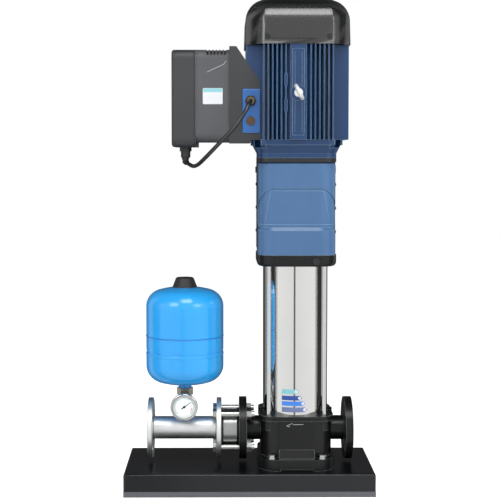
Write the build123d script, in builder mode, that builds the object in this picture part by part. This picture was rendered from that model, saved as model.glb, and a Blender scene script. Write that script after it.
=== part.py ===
from build123d import *

import os
from math import cos, pi, radians, sin, sqrt, tan

# Packaged booster set, in millimetres: a vertical multistage pump with its motor and
# inverter, and the check valve, outlet spool, gauge and diaphragm tank on its outlet.
# Origin: bottom centre of the base. +X runs from outlet to inlet, +Y to the rear, +Z up.

# ---------------------------------------------------------------------------
# Driving dimensions
# ---------------------------------------------------------------------------

# Clearances
press_gap = 0.05        # radial gap of a piece pressed or clamped in its seat
running_gap = 0.05      # radial gap of a shaft in its bearing or bush
soft_gap = 0.3          # gap between pieces that pass without touching
face_gap = 0.1          # joint between stacked pieces

# Base frame
base_length = 650.0
base_width = 300.0
base_height = 60.0
base_sheet = 3.0
base_bend = 5.0
base_return = 30.0      # inward flange under the skirt
rail_height = 14.0
rail_width = 36.0
pump_x = 124.0          # pump axis from the middle of the base

# Pump base casting
foot_width = 199.0
foot_depth = 240.0
foot_thick = 30.0
foot_corner = 54.0
foot_notch_width = 86.0
foot_notch = 5.0
anchor_span_x = 130.0
anchor_span_y = 206.0
anchor_size = 12.0
anchor_clear = 40.0     # height kept free over each bolt's seat
anchor_pocket = 13.0    # radius kept free round each bolt
column_width = 186.0
column_corner = 50.0
apron_width = 92.0      # sloped field between the front anchor bolts
apron_rise = 21.0
apron_rim = 7.0
head_flange_width = 195.0
head_flange_corner = 42.0
head_flange_thick = 13.0
staybolt_boss = 12.5
casting_height = 138.0  # from the base top to the sleeve seat face
port_height = 90.0      # from the base top to the port centre
port_reach = 150.0      # from the pump axis to the port face
port_bore = 50.0
neck_diameter = 64.0
port_flange_diameter = 165.0
port_flange_thick = 20.0
bolt_circle = 125.0
flange_hole = 18.0
flange_bolt_count = 4
suction_radius = 48.0
suction_depth = 90.0
annulus_inner = 60.0
annulus_outer = 82.0
annulus_depth = 20.0
ear_radius = 6.0
ear_rise = 7.0

# Sleeve and staybolts
sleeve_radius = 86.0
sleeve_wall = 1.5
sleeve_visible = 392.0  # between the casting and the head
socket_depth = 8.0
gasket_thick = 2.0
staybolt_size = 12.0
staybolt_offset = 73.0  # from the axis, along X and along Y
staybolt_grip = 33.0    # threaded length in the base casting

# Pump head
head_width = 208.0
head_corner = 46.0
head_height = 30.0
head_round = 11.0
plug_x = 49.0
plug_size = 14.0

# Hydraulic stack
stage_count = 7
stack_seat = 4.0        # rise of the seat ring above the casting
bowl_radius = 81.0
bowl_wall = 2.0
eye_radius = 30.0
eye_collar = 8.0
vane_count = 6
vane_height = 20.0
shaft_radius = 11.0
impeller_radius = 66.0
impeller_gap = 10.0     # from the bowl floor to the front shroud
impeller_width = 12.0
impeller_sheet = 2.0
blade_count = 6
hub_radius = 17.0
bush_radius = 16.0
bush_length = 30.0
seal_radius = 20.0

# Motor stool and coupling guards
stool_flange_width = 188.0
stool_flange_thick = 14.0
stool_height = 252.0
stool_ring_width = 204.0
stool_ring_thick = 11.0
stool_corner = 30.0
stool_bore = 60.0
web_thick = 10.0
web_width = 84.0
web_face = 98.0         # where the guards lie against the webs
web_strip_width = 59.4
web_strip_proud = 5.5
guard_width = 203.0
guard_depth = 206.0
guard_corner = 42.0
guard_wall = 3.5
guard_gap = 0.4
guard_ledge = 72.0      # height of the ledge above the head
guard_ledge_depth = 5.0
guard_panel_top = 174.0
guard_panel_depth = 2.5
guard_panel_low_width = 172.0
guard_panel_high_width = 138.0
guard_screw_size = 5.0
guard_screw_heights = (58.0, 120.0, 182.0)

# Coupling
coupling_radius = 38.0
coupling_length = 130.0
coupling_split = 2.0
coupling_bolt_size = 8.0
coupling_bolt_pitch = 54.0
coupling_bolt_inset = 25.0  # from each end of the coupling
coupling_spot = 8.0     # depth of the bolts' spot faces

# Motor
bell_height = 47.0
bell_plate = 12.0
bell_low_width = 204.0
bell_high_width = 226.0
bell_flange_width = 236.0
bell_flange_thick = 14.0
bell_bolt_offset = 87.0
bell_bolt_size = 10.0
frame_height = 243.0
frame_width = 264.0
frame_core_radius = 115.0
stator_radius = 100.0
fin_thick = 3.2
fin_pitch = 11.3
fin_face = 90.0         # outer face of the outermost fins
front_fins = 6          # on each side of the central pad
side_fins = 8           # on each side of the middle of a flank
pad_width = 41.0
pad_recess_width = 29.0
pad_recess = 1.5
boss_radius = 20.0
boss_height = 119.0     # of the lifting eye above the foot of the frame
boss_proud = 2.5
eye_ring = 18.0         # radius of the ring's centre line
eye_wire = 4.5
eye_tilt = 27.0         # of the ring from upright
rotor_bore = 62.0
air_gap = 0.6
core_length = 150.0
core_start = 41.0
motor_shaft_radius = 19.0
motor_bearing_radius = 31.0
motor_bearing_width = 19.0
cowl_width = 272.0
cowl_facet = 180.0      # flat part of each side
cowl_height = 120.0
cowl_wall = 3.0
cowl_taper = 1.6
cowl_round = 26.0
cowl_screw_x = 79.0
cowl_screw_height = 18.0
slot_width = 4.0
slot_pitch = 11.0
grille_radius = 92.0
fan_radius = 96.0
fan_start = 30.0        # from the foot of the cowl to the fan disc
fan_height = 38.0
fan_blades = 8

# Terminal box on the left flank of the motor
box_face = 143.0        # from the pump axis to the outer face
box_root = 98.0
box_low = 937.0
box_high = 1050.0
box_half_width = 96.0
box_wall = 5.0
box_pad = 118.0
gland_x = 121.0
gland_z = 1019.0
gland_radius = 13.5
gland_length = 14.0
gland_entry = 9.9
blank_z = 967.5
blank_radius = 12.0

# Inverter and its bracket
bracket_back = 176.0
bracket_low = 911.0
bracket_high = 1159.0
bracket_wall = 4.0
bracket_shoulder = 158.0
bracket_toe_z = 1070.0
inverter_split = 263.0
inverter_face = 325.0
inverter_half_width = 95.0
inverter_high = 1151.0
sink_low = 913.0
cover_low = 900.0
inverter_round = 21.0
cover_wall = 4.0
cover_lip = 5.0
comb_start = 187.0
comb_count = 6
comb_pitch = 9.0
comb_slot = 4.5
comb_depth = 14.0
sink_recess = 1.6
display_width = 84.0
display_height = 46.0
display_z = 1060.0
key_radius = 8.0
key_z = 985.0
key_pitch = 26.0
key_count = 4
key_travel = 1.0

# Motor cable
cable_diameter = 10.5
gland_drop_x = -290.0   # inverter gland, from the pump axis
gland_drop_y = -50.0
gland_drop = 28.0       # from the cover down to the foot of its dome nut
cable_points = (        # from the pump axis and the foot of the rails
    (-121.0, -110.0, 1019.0),
    (-121.0, -134.0, 1019.0),
    (-127.5, -155.0, 1005.0),
    (-141.0, -162.0, 980.0),
    (-159.0, -163.0, 954.0),
    (-180.0, -158.0, 931.0),
    (-202.0, -147.0, 909.0),
    (-223.0, -130.0, 887.0),
    (-242.0, -109.0, 868.0),
    (-258.0, -88.0, 853.0),
    (-273.0, -70.0, 849.0),
    (-287.0, -54.0, 860.0),
)

# Outlet train
valve_length = 43.0
valve_radius = 50.0
valve_chamber = 30.0
seat_bore = 36.0
disc_radius = 22.5
disc_thick = 4.0
disc_drop = 3.0         # of the disc's centre under the port axis
hinge_rise = 23.0       # of the hinge pin over the port axis
disc_pin_radius = 2.5
cheek_gap = 9.0
cheek_thick = 5.0
spool_length = 195.0
spool_radius = 30.15
spool_wall = 3.0
spool_flange_diameter = 160.0
spool_flange_thick = 13.0
flange_bolt_size = 16.0
riser_x = 294.5         # tank axis from the pump axis
riser_radius = 17.0
riser_bore = 8.0
riser_top = 200.0
tee_top = 239.0
tee_branch_radius = 12.0
tee_branch_reach = 30.0
union_across = 38.0
union_top = 259.0

# Diaphragm tank
tank_radius = 103.0
tank_wall = 2.0
tank_low = 267.0
tank_high = 530.0
tank_knuckle = 45.0
tank_knuckle_turn = 75.0
tank_neck_radius = 17.5
tank_waist_z = 359.0
tank_seam_z = 400.0
cap_radius = 33.0
cap_top_radius = 22.5
cap_top = 554.0
cap_wall = 2.0
valve_boss = 8.0

# Pressure gauge
gauge_z = 218.5
gauge_radius = 33.0
bezel_radius = 36.0
bezel_opening = 29.0
gauge_back = 46.0
gauge_front = 76.0
pointer_length = 22.0
pointer_angle = 35.0    # above the horizontal, to the right

# ---------------------------------------------------------------------------
# Levels and planes worked out from the dimensions above
# ---------------------------------------------------------------------------

casting_top = base_height + casting_height
port_z = base_height + port_height
head_bottom = casting_top + sleeve_visible
head_top = head_bottom + head_height
stool_top = head_top + stool_height
ring_bottom = stool_top - stool_ring_thick
frame_bottom = stool_top + bell_height
frame_top = frame_bottom + frame_height
cowl_top = frame_top + cowl_height
stack_bottom = casting_top + stack_seat
stack_top = head_bottom - 10.0
stage_pitch = (stack_top - stack_bottom) / stage_count
coupling_low = head_top + 45.0
coupling_middle = coupling_low + coupling_length / 2
fan_z = frame_top + fan_start
shaft_foot = base_height + 58.0

pump_axis = Axis((pump_x, 0, 0), (0, 0, 1))
pump_section = Plane(origin=(pump_x, 0, 0), x_dir=(1, 0, 0), z_dir=(0, -1, 0))
tank_x = pump_x - riser_x
tank_axis = Axis((tank_x, 0, 0), (0, 0, 1))
tank_section = Plane(origin=(tank_x, 0, 0), x_dir=(1, 0, 0), z_dir=(0, -1, 0))


def level(z):
    """Horizontal plane on the pump axis."""
    return Plane(origin=(pump_x, 0, z))


def across(reach):
    """Plane facing the outlet, on the port axis, at a distance left of the pump axis."""
    return Plane(origin=(pump_x - reach, 0, port_z), x_dir=(0, -1, 0), z_dir=(-1, 0, 0))


def front(y, x=pump_x, z=0.0):
    """Upright plane facing the front, with local X and Y along +X and +Z."""
    return Plane(origin=(x, y, z), x_dir=(1, 0, 0), z_dir=(0, -1, 0))


def corners(offset):
    """The four places at a distance along X and along Y from the axis."""
    return GridLocations(2 * offset, 2 * offset, 2, 2)


def save(piece, name):
    """Label a finished piece and write its file."""
    piece.part.label = name
    export_step(piece.part, f"parts/{name}.step")


def bolt_body(size, length, across_flats, head, washer=0.0):
    """Hex bolt with its head above the plane and its shank below."""
    with BuildPart() as bolt:
        with BuildSketch():
            Circle(size / 2)
        extrude(amount=-length)
        if washer:
            with BuildSketch():
                Circle(size)
            extrude(amount=washer)
        with BuildSketch(Plane.XY.offset(washer)):
            RegularPolygon(across_flats / 2, 6, major_radius=False)
        extrude(amount=head)
    return bolt.part


def nut_body(size, thick, across_flats):
    """Hex nut that stands on the plane."""
    with BuildPart() as nut:
        with BuildSketch():
            RegularPolygon(across_flats / 2, 6, major_radius=False)
            Circle(size / 2 + press_gap, mode=Mode.SUBTRACT)
        extrude(amount=thick)
    return nut.part


def screw_body(size, length, head_radius, head):
    """Round-headed screw with its head above the plane."""
    with BuildPart() as screw:
        with BuildSketch():
            Circle(size / 2)
        extrude(amount=-length)
        with BuildSketch():
            Circle(head_radius)
        extrude(amount=head)
        chamfer(screw.edges().sort_by(Axis.Z)[-1], head * 0.45)
    return screw.part


os.makedirs("parts", exist_ok=True)

# ---------------------------------------------------------------------------
# Base frame
# ---------------------------------------------------------------------------

with BuildPart() as base_pan:
    with BuildSketch(Plane.XY.offset(rail_height)):
        Rectangle(base_length, base_width)
    extrude(amount=base_height - rail_height)
    fillet(base_pan.edges().filter_by(Axis.Z), base_bend)
    fillet(base_pan.faces().sort_by(Axis.Z)[-1].edges(), base_bend)
    with BuildSketch(Plane.XY.offset(rail_height + base_sheet)):
        Rectangle(base_length - 2 * base_sheet, base_width - 2 * base_sheet)
    extrude(amount=base_height - rail_height - 2 * base_sheet, mode=Mode.SUBTRACT)
    with BuildSketch(Plane.XY.offset(rail_height)):
        Rectangle(base_length - 2 * base_return, base_width - 2 * base_return)
    extrude(amount=base_sheet, mode=Mode.SUBTRACT)
    with BuildSketch(level(base_height)):
        with GridLocations(anchor_span_x, anchor_span_y, 2, 2):
            Circle(anchor_size / 2 + 0.5)
    extrude(amount=-base_sheet, mode=Mode.SUBTRACT)
save(base_pan, "base_pan")

with BuildPart() as base_rails:
    with BuildSketch():
        with GridLocations(0, base_width - rail_width, 1, 2):
            Rectangle(base_length, rail_width)
        Rectangle(rail_width, base_width - rail_width)
    extrude(amount=rail_height)
    chamfer(base_rails.edges().filter_by(Axis.X).group_by(Axis.Z)[0], 1.5)
save(base_rails, "base_rails")

# ---------------------------------------------------------------------------
# Pump base casting
# ---------------------------------------------------------------------------

with BuildPart() as pump_base:
    with BuildSketch(level(base_height)):
        RectangleRounded(foot_width, foot_depth, foot_corner)
    extrude(amount=foot_thick)
    fillet(pump_base.faces().sort_by(Axis.Z)[-1].edges(), 2.5)
    with BuildSketch(level(base_height)):
        with GridLocations(0, foot_depth, 1, 2):
            Rectangle(foot_notch_width, 16.0)
    extrude(amount=foot_notch, mode=Mode.SUBTRACT)
    with BuildSketch(level(base_height)):
        RectangleRounded(column_width, column_width, column_corner)
    extrude(amount=casting_height)
    apron_foot = base_height + foot_thick
    apron_toe = foot_depth / 2 - apron_rim
    with BuildSketch(Plane(origin=(pump_x, 0, 0), x_dir=(0, 1, 0), z_dir=(1, 0, 0))):
        with BuildLine():
            Polyline(
                (-apron_toe, apron_foot - 4.0),
                (-apron_toe, apron_foot + 1.0),
                (-column_width / 2 + 1.0, apron_foot + apron_rise),
                (column_width / 2 - 1.0, apron_foot + apron_rise),
                (apron_toe, apron_foot + 1.0),
                (apron_toe, apron_foot - 4.0),
                close=True,
            )
        make_face()
    extrude(amount=apron_width / 2, both=True)
    with BuildSketch(level(base_height + foot_thick)):
        with GridLocations(anchor_span_x, anchor_span_y, 2, 2):
            Circle(anchor_pocket)
    extrude(amount=anchor_clear, mode=Mode.SUBTRACT)
    with BuildSketch(level(casting_top)):
        with corners(staybolt_offset):
            Circle(staybolt_boss)
    extrude(amount=-staybolt_grip - 6.0)
    with BuildSketch(level(casting_top)):
        RectangleRounded(head_flange_width, head_flange_width, head_flange_corner)
    extrude(amount=-head_flange_thick)
    with BuildSketch(across(port_reach)):
        Circle(neck_diameter / 2)
    extrude(amount=-2 * port_reach)
    with BuildSketch(across(port_reach), across(port_flange_thick - port_reach)):
        Circle(port_flange_diameter / 2)
    extrude(amount=-port_flange_thick)
    with BuildSketch(level(casting_top - head_flange_thick)):
        with GridLocations(head_flange_width - 1.5 * ear_radius, 0, 2, 1):
            Circle(ear_radius)
    extrude(amount=head_flange_thick + ear_rise)
    with BuildSketch(level(casting_top)):
        Circle(annulus_inner)
    extrude(amount=stack_seat)
    # Sleeve socket, discharge annulus and the suction chamber inside it
    with BuildSketch(level(casting_top)):
        Circle(sleeve_radius + soft_gap)
        Circle(annulus_inner, mode=Mode.SUBTRACT)
    extrude(amount=-socket_depth, mode=Mode.SUBTRACT)
    with BuildSketch(level(casting_top)):
        Circle(annulus_outer)
        Circle(annulus_inner, mode=Mode.SUBTRACT)
    extrude(amount=-annulus_depth, mode=Mode.SUBTRACT)
    with BuildSketch(level(casting_top + stack_seat)):
        Circle(suction_radius)
    extrude(amount=-suction_depth - stack_seat, mode=Mode.SUBTRACT)
    with BuildSketch(across(-port_reach)):
        Circle(port_bore / 2)
    extrude(amount=port_reach, mode=Mode.SUBTRACT)
    with BuildSketch(across(port_reach)):
        Circle(port_bore / 2)
    extrude(amount=annulus_inner + 4.0 - port_reach, mode=Mode.SUBTRACT)
    with BuildSketch(level(casting_top)):
        with Locations((-(annulus_inner + annulus_outer) / 2, 0)):
            Rectangle(annulus_outer - annulus_inner - 4.0, port_bore)
    extrude(amount=port_z - casting_top, mode=Mode.SUBTRACT)
    # Boss of the lower bush, with its seat
    bush_floor = casting_top - suction_depth
    with BuildSketch(level(bush_floor)):
        Circle(bush_radius + 5.0)
    extrude(amount=bush_length - 3.0)
    with BuildSketch(level(bush_floor + bush_length - 3.0)):
        Circle(bush_radius + press_gap)
    extrude(amount=-bush_length, mode=Mode.SUBTRACT)
    # Holes
    with BuildSketch(level(base_height)):
        with GridLocations(anchor_span_x, anchor_span_y, 2, 2):
            Circle(anchor_size / 2 + 0.5)
    extrude(amount=foot_thick, mode=Mode.SUBTRACT)
    with BuildSketch(level(casting_top)):
        with corners(staybolt_offset):
            Circle(staybolt_size / 2 + press_gap)
    extrude(amount=-staybolt_grip, mode=Mode.SUBTRACT)
    with BuildSketch(across(port_reach), across(port_flange_thick - port_reach)):
        with PolarLocations(bolt_circle / 2, flange_bolt_count, start_angle=45):
            Circle(flange_hole / 2)
    extrude(amount=-port_flange_thick, mode=Mode.SUBTRACT)
save(pump_base, "pump_base")

anchor_seat = base_height + foot_thick
anchor_bolt = bolt_body(anchor_size, foot_thick + base_sheet + 14.0, 19.0, 7.5, 2.5)
anchor_nut = nut_body(anchor_size, 10.0, 19.0)

with BuildPart() as anchor_bolts:
    with Locations(level(anchor_seat)):
        with GridLocations(anchor_span_x, anchor_span_y, 2, 2):
            add(anchor_bolt)
    with Locations(level(base_height - base_sheet - 10.0)):
        with GridLocations(anchor_span_x, anchor_span_y, 2, 2):
            add(anchor_nut)
save(anchor_bolts, "anchor_bolts")

# ---------------------------------------------------------------------------
# Outer sleeve, gaskets and staybolts
# ---------------------------------------------------------------------------

socket_floor = casting_top - socket_depth
socket_roof = head_bottom + socket_depth

with BuildPart() as outer_sleeve:
    with BuildSketch(level(socket_floor + gasket_thick)):
        Circle(sleeve_radius)
        Circle(sleeve_radius - sleeve_wall, mode=Mode.SUBTRACT)
    extrude(amount=socket_roof - socket_floor - 2 * gasket_thick)
save(outer_sleeve, "outer_sleeve")

with BuildPart() as sleeve_gaskets:
    with BuildSketch(level(socket_floor), level(socket_roof - gasket_thick)):
        Circle(sleeve_radius)
        Circle(annulus_outer + 0.5, mode=Mode.SUBTRACT)
    extrude(amount=gasket_thick)
save(sleeve_gaskets, "sleeve_gaskets")

staybolt_top = head_top + stool_flange_thick + 20.0
staybolt_nut = nut_body(staybolt_size, 12.0, 19.0)

with BuildPart() as staybolts:
    with BuildSketch(level(casting_top - staybolt_grip)):
        with corners(staybolt_offset):
            Circle(staybolt_size / 2)
    extrude(amount=staybolt_top - casting_top + staybolt_grip)
    with Locations(level(head_top + stool_flange_thick)):
        with corners(staybolt_offset):
            add(staybolt_nut)
save(staybolts, "staybolts")

# ---------------------------------------------------------------------------
# Pump head, with the posts that clamp the stack of stages
# ---------------------------------------------------------------------------

head_chamber = head_bottom + 16.0

with BuildPart() as pump_head:
    with BuildSketch(level(head_bottom)):
        RectangleRounded(head_width, head_width, head_corner)
    extrude(amount=head_height)
    fillet(pump_head.faces().sort_by(Axis.Z)[0].edges(), head_round)
    with BuildSketch(level(head_bottom)):
        Circle(sleeve_radius + soft_gap)
    extrude(amount=socket_depth, mode=Mode.SUBTRACT)
    with BuildSketch(level(head_bottom)):
        Circle(annulus_outer)
    extrude(amount=head_chamber - head_bottom, mode=Mode.SUBTRACT)
    with BuildSketch(level(stack_top)):
        with PolarLocations(bowl_radius - 4.0, vane_count):
            Rectangle(7.0, 12.0)
    extrude(amount=head_chamber - stack_top)
    with BuildSketch(level(head_chamber)):
        Circle(seal_radius + press_gap)
    extrude(amount=head_top - head_chamber, mode=Mode.SUBTRACT)
    with BuildSketch(level(head_bottom)):
        with corners(staybolt_offset):
            Circle(staybolt_size / 2 + 0.5)
    extrude(amount=head_height, mode=Mode.SUBTRACT)
    with BuildSketch(front(-head_width / 2, pump_x + plug_x, head_bottom + head_height / 2)):
        Circle(plug_size / 2 + press_gap)
    extrude(amount=-12.0, mode=Mode.SUBTRACT)
save(pump_head, "pump_head")

with BuildPart() as vent_plug:
    with BuildSketch(front(-head_width / 2, pump_x + plug_x, head_bottom + head_height / 2)):
        Circle(plug_size / 2)
    extrude(amount=-11.0)
    with BuildSketch(front(-head_width / 2, pump_x + plug_x, head_bottom + head_height / 2)):
        RegularPolygon(plug_size * 0.65, 6, major_radius=False)
    extrude(amount=5.0)
    chamfer(vent_plug.faces().sort_by(Axis.Y)[0].edges(), 1.0)
save(vent_plug, "vent_plug")

# ---------------------------------------------------------------------------
# Hydraulic stack: bowls with return vanes, and the shaft with its impellers
# ---------------------------------------------------------------------------


def bowl_body(with_vanes):
    """Stage bowl that stands on the plane, with return vanes under its floor."""
    with BuildPart() as bowl:
        with BuildSketch():
            Circle(bowl_radius)
            Circle(eye_radius, mode=Mode.SUBTRACT)
        extrude(amount=bowl_wall)
        with BuildSketch():
            Circle(bowl_radius)
            Circle(bowl_radius - bowl_wall, mode=Mode.SUBTRACT)
        extrude(amount=stage_pitch - face_gap)
        with BuildSketch():
            Circle(eye_radius + bowl_wall)
            Circle(eye_radius, mode=Mode.SUBTRACT)
        extrude(amount=eye_collar)
        if with_vanes:
            with BuildSketch():
                with PolarLocations((eye_radius + bowl_radius) / 2, vane_count):
                    Rectangle(bowl_radius - eye_radius - 12.0, bowl_wall, rotation=25)
            extrude(amount=-vane_height)
    return bowl.part


with BuildPart() as stage_bowls:
    with Locations(level(stack_bottom)):
        add(bowl_body(False))
    for stage in range(1, stage_count):
        with Locations(level(stack_bottom + stage * stage_pitch)):
            add(bowl_body(True))
save(stage_bowls, "stage_bowls")


def impeller_body():
    """Closed impeller with backward blades; the plane is the floor of its bowl."""
    rear = impeller_gap + impeller_width
    inner = hub_radius + 5.0
    with BuildPart() as impeller:
        with BuildSketch(Plane.XY.offset(soft_gap)):
            Circle(eye_radius - 0.6)
            Circle(eye_radius - 0.6 - impeller_sheet, mode=Mode.SUBTRACT)
        extrude(amount=impeller_gap - soft_gap)
        with BuildSketch(Plane.XY.offset(impeller_gap)):
            Circle(impeller_radius)
            Circle(eye_radius - 0.6 - impeller_sheet, mode=Mode.SUBTRACT)
        extrude(amount=impeller_sheet)
        with BuildSketch(Plane.XY.offset(rear - impeller_sheet)):
            Circle(impeller_radius)
            Circle(hub_radius, mode=Mode.SUBTRACT)
        extrude(amount=impeller_sheet)
        with BuildSketch(Plane.XY.offset(rear - impeller_sheet)):
            Circle(hub_radius)
            Circle(shaft_radius + press_gap, mode=Mode.SUBTRACT)
        extrude(amount=stage_pitch - face_gap)
        with BuildSketch(Plane.XY.offset(impeller_gap + impeller_sheet)):
            for blade in range(blade_count):
                turn = 360.0 / blade_count * blade
                with BuildLine():
                    camber = ThreePointArc(
                        Vector(inner + 8.0, 0).rotate(Axis.Z, turn),
                        Vector((inner + impeller_radius) / 2 + 3.0, 0).rotate(Axis.Z, turn - 17.0),
                        Vector(impeller_radius - 1.5, 0).rotate(Axis.Z, turn - 52.0),
                    )
                    offset(camber, amount=impeller_sheet / 2, kind=Kind.INTERSECTION)
                make_face()
        extrude(amount=impeller_width - 2 * impeller_sheet)
    return impeller.part


impeller = impeller_body()

with BuildPart() as impellers:
    for stage in range(stage_count):
        with Locations(level(stack_bottom + stage * stage_pitch)):
            add(impeller)
save(impellers, "impellers")

with BuildPart() as pump_shaft:
    with BuildSketch(level(shaft_foot)):
        Circle(shaft_radius)
    extrude(amount=coupling_middle - 2.0 - shaft_foot)
    chamfer(pump_shaft.edges().filter_by(GeomType.CIRCLE), 1.0)
save(pump_shaft, "pump_shaft")

with BuildPart() as lower_bush:
    with BuildSketch(level(bush_floor - 3.0)):
        Circle(bush_radius)
        Circle(shaft_radius + running_gap, mode=Mode.SUBTRACT)
    extrude(amount=bush_length)
save(lower_bush, "lower_bush")

with BuildPart() as seal_seat:
    with BuildSketch(level(head_chamber)):
        Circle(seal_radius)
        Circle(shaft_radius + 1.0, mode=Mode.SUBTRACT)
    extrude(amount=head_top - head_chamber)
save(seal_seat, "seal_seat")

last_hub_top = stack_top + impeller_gap + impeller_width - impeller_sheet
with BuildPart() as seal_ring:
    with BuildSketch(level(head_chamber - soft_gap)):
        Circle(seal_radius - 1.0)
        Circle(shaft_radius + press_gap, mode=Mode.SUBTRACT)
    extrude(amount=last_hub_top - head_chamber + soft_gap)
save(seal_ring, "seal_ring")

# ---------------------------------------------------------------------------
# Motor stool and coupling guards
# ---------------------------------------------------------------------------

with BuildPart() as motor_stool:
    with BuildSketch(level(head_top)):
        RectangleRounded(stool_flange_width, stool_flange_width, stool_corner)
    extrude(amount=stool_flange_thick)
    with BuildSketch(level(head_top)):
        with GridLocations(2 * web_face - web_thick, 0, 2, 1):
            Rectangle(web_thick, web_width)
    extrude(amount=stool_height)
    with BuildSketch(level(head_top + stool_flange_thick)):
        with GridLocations(2 * web_face + web_strip_proud, 0, 2, 1):
            Rectangle(web_strip_proud, web_strip_width)
    extrude(amount=stool_height - stool_flange_thick)
    with BuildSketch(level(head_top + 213.0)):
        with GridLocations(2 * (web_face + web_strip_proud + 1.5), 0, 2, 1):
            Rectangle(3.0, 20.0)
    extrude(amount=16.0)
    with BuildSketch(level(head_top + stool_flange_thick)):
        with GridLocations(2 * (web_face - web_thick - 9.0), 0, 2, 1):
            Rectangle(18.0, 8.0)
    extrude(amount=ring_bottom - head_top - stool_flange_thick)
    with BuildSketch(level(ring_bottom)):
        RectangleRounded(stool_ring_width, stool_ring_width, stool_corner)
    extrude(amount=stool_ring_thick)
    with BuildSketch(level(ring_bottom)):
        Circle(stool_bore)
    extrude(amount=stool_ring_thick, mode=Mode.SUBTRACT)
    with BuildSketch(level(head_top)):
        Circle(stool_bore - 8.0)
    extrude(amount=stool_flange_thick, mode=Mode.SUBTRACT)
    with BuildSketch(level(head_top)):
        with corners(staybolt_offset):
            Circle(staybolt_size / 2 + 0.5)
    extrude(amount=stool_flange_thick, mode=Mode.SUBTRACT)
    with BuildSketch(level(ring_bottom)):
        with corners(bell_bolt_offset):
            Circle(bell_bolt_size / 2 + press_gap)
    extrude(amount=stool_ring_thick, mode=Mode.SUBTRACT)
    guard_screw_y = (web_strip_width + web_width) / 4
    for side in (-1, 1):
        for height in guard_screw_heights:
            flank = Plane(
                origin=(pump_x + side * web_face, 0, head_top + height),
                x_dir=(0, 1, 0),
                z_dir=(side, 0, 0),
            )
            with BuildSketch(flank):
                with GridLocations(2 * guard_screw_y, 0, 2, 1):
                    Circle(guard_screw_size / 2 + press_gap)
            extrude(amount=-web_thick, mode=Mode.SUBTRACT)
save(motor_stool, "motor_stool")

guard_low = head_top + guard_gap
guard_high = ring_bottom - guard_gap
guard_edge = web_strip_width / 2 + guard_gap


def guard_prism(inset, low, high, depth):
    """Rounded-square column of the guards' plan, moved in by a distance."""
    with BuildPart() as prism:
        with BuildSketch(level(low)):
            RectangleRounded(
                guard_width - 2 * inset,
                depth - 2 * inset,
                guard_corner - inset,
            )
        extrude(amount=high - low)
    return prism.part


panel_low_z = head_top + guard_ledge + 8.0
panel_high_z = head_top + guard_panel_top

# Arched field of the guard, seen from the front: its upper corners curve down to the flanks
with BuildPart() as arch_field:
    with BuildSketch(front(-guard_depth)):
        with BuildLine():
            Line((-guard_width / 2, panel_low_z), (guard_width / 2, panel_low_z))
            Line((guard_width / 2, panel_low_z), (guard_width / 2, panel_high_z - 52.0))
            ThreePointArc(
                (guard_width / 2, panel_high_z - 52.0),
                (guard_width / 2 - 11.0, panel_high_z - 17.0),
                (guard_width / 2 - 38.0, panel_high_z),
            )
            Line((guard_width / 2 - 38.0, panel_high_z), (38.0 - guard_width / 2, panel_high_z))
            ThreePointArc(
                (38.0 - guard_width / 2, panel_high_z),
                (11.0 - guard_width / 2, panel_high_z - 17.0),
                (-guard_width / 2, panel_high_z - 52.0),
            )
            Line((-guard_width / 2, panel_high_z - 52.0), (-guard_width / 2, panel_low_z))
        make_face()
    extrude(amount=-guard_depth + guard_edge + 20.0)

# Raised middle of that field, wider at its foot
with BuildPart() as raised_field:
    with BuildSketch(front(-guard_depth)):
        with BuildLine():
            Polyline(
                (-guard_panel_low_width / 2, panel_low_z - 4.0),
                (guard_panel_low_width / 2, panel_low_z - 4.0),
                (guard_panel_high_width / 2, panel_high_z - 7.0),
                (-guard_panel_high_width / 2, panel_high_z - 7.0),
                close=True,
            )
        make_face()
    extrude(amount=-guard_depth + guard_edge + 20.0)

upper_depth = guard_depth - 2 * guard_ledge_depth
field_high_z = panel_high_z + 1.0

with BuildPart() as raised_pad:
    add(raised_field.part)
    add(
        guard_prism(guard_panel_depth - 1.2, panel_low_z - 5.0, field_high_z, upper_depth),
        mode=Mode.INTERSECT,
    )

with BuildPart() as guard_whole:
    add(guard_prism(0.0, guard_low, head_top + guard_ledge, guard_depth))
    ledge_edges = guard_whole.faces().sort_by(Axis.Z)[-1].edges().filter_by(Axis.X)
    chamfer(
        ledge_edges.sort_by(Axis.Y)[0],
        length=8.0,
        length2=guard_ledge_depth - 0.2,
        reference=guard_whole.faces().sort_by(Axis.Y)[0],
    )
    add(guard_prism(0.0, head_top + guard_ledge, guard_high, upper_depth))
    fillet(guard_whole.faces().sort_by(Axis.Z)[-1].edges(), 6.0)
    add(arch_field.part, mode=Mode.SUBTRACT)
    add(guard_prism(guard_panel_depth, panel_low_z - 1.0, field_high_z, upper_depth))
    add(raised_pad.part)
    add(
        guard_prism(guard_wall + guard_panel_depth, guard_low, guard_high, upper_depth),
        mode=Mode.SUBTRACT,
    )
    add(
        guard_prism(
            guard_wall + guard_panel_depth, guard_low, head_top + guard_ledge - 10.0, guard_depth
        ),
        mode=Mode.SUBTRACT,
    )

# One half of the guard: in front of the webs, with its flanks lying on them
with BuildPart() as guard_front:
    add(guard_whole.part)
    with BuildSketch(level(guard_low)):
        with Locations((0, guard_depth)):
            Rectangle(2 * guard_width, 2 * (guard_depth + guard_edge))
    extrude(amount=guard_high - guard_low, mode=Mode.SUBTRACT)
    with BuildSketch(level(guard_low)):
        with Locations((0, -guard_edge)):
            Rectangle(2 * web_face, web_width - 2 * guard_edge + 8.0)
    extrude(amount=guard_high - guard_low, mode=Mode.SUBTRACT)
    for height in guard_screw_heights:
        with BuildSketch(
            Plane(
                origin=(pump_x, -guard_screw_y, head_top + height),
                x_dir=(0, 1, 0),
                z_dir=(1, 0, 0),
            )
        ):
            Circle(guard_screw_size / 2 + 0.2)
        extrude(amount=guard_width, both=True, mode=Mode.SUBTRACT)
save(guard_front, "guard_front")

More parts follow.
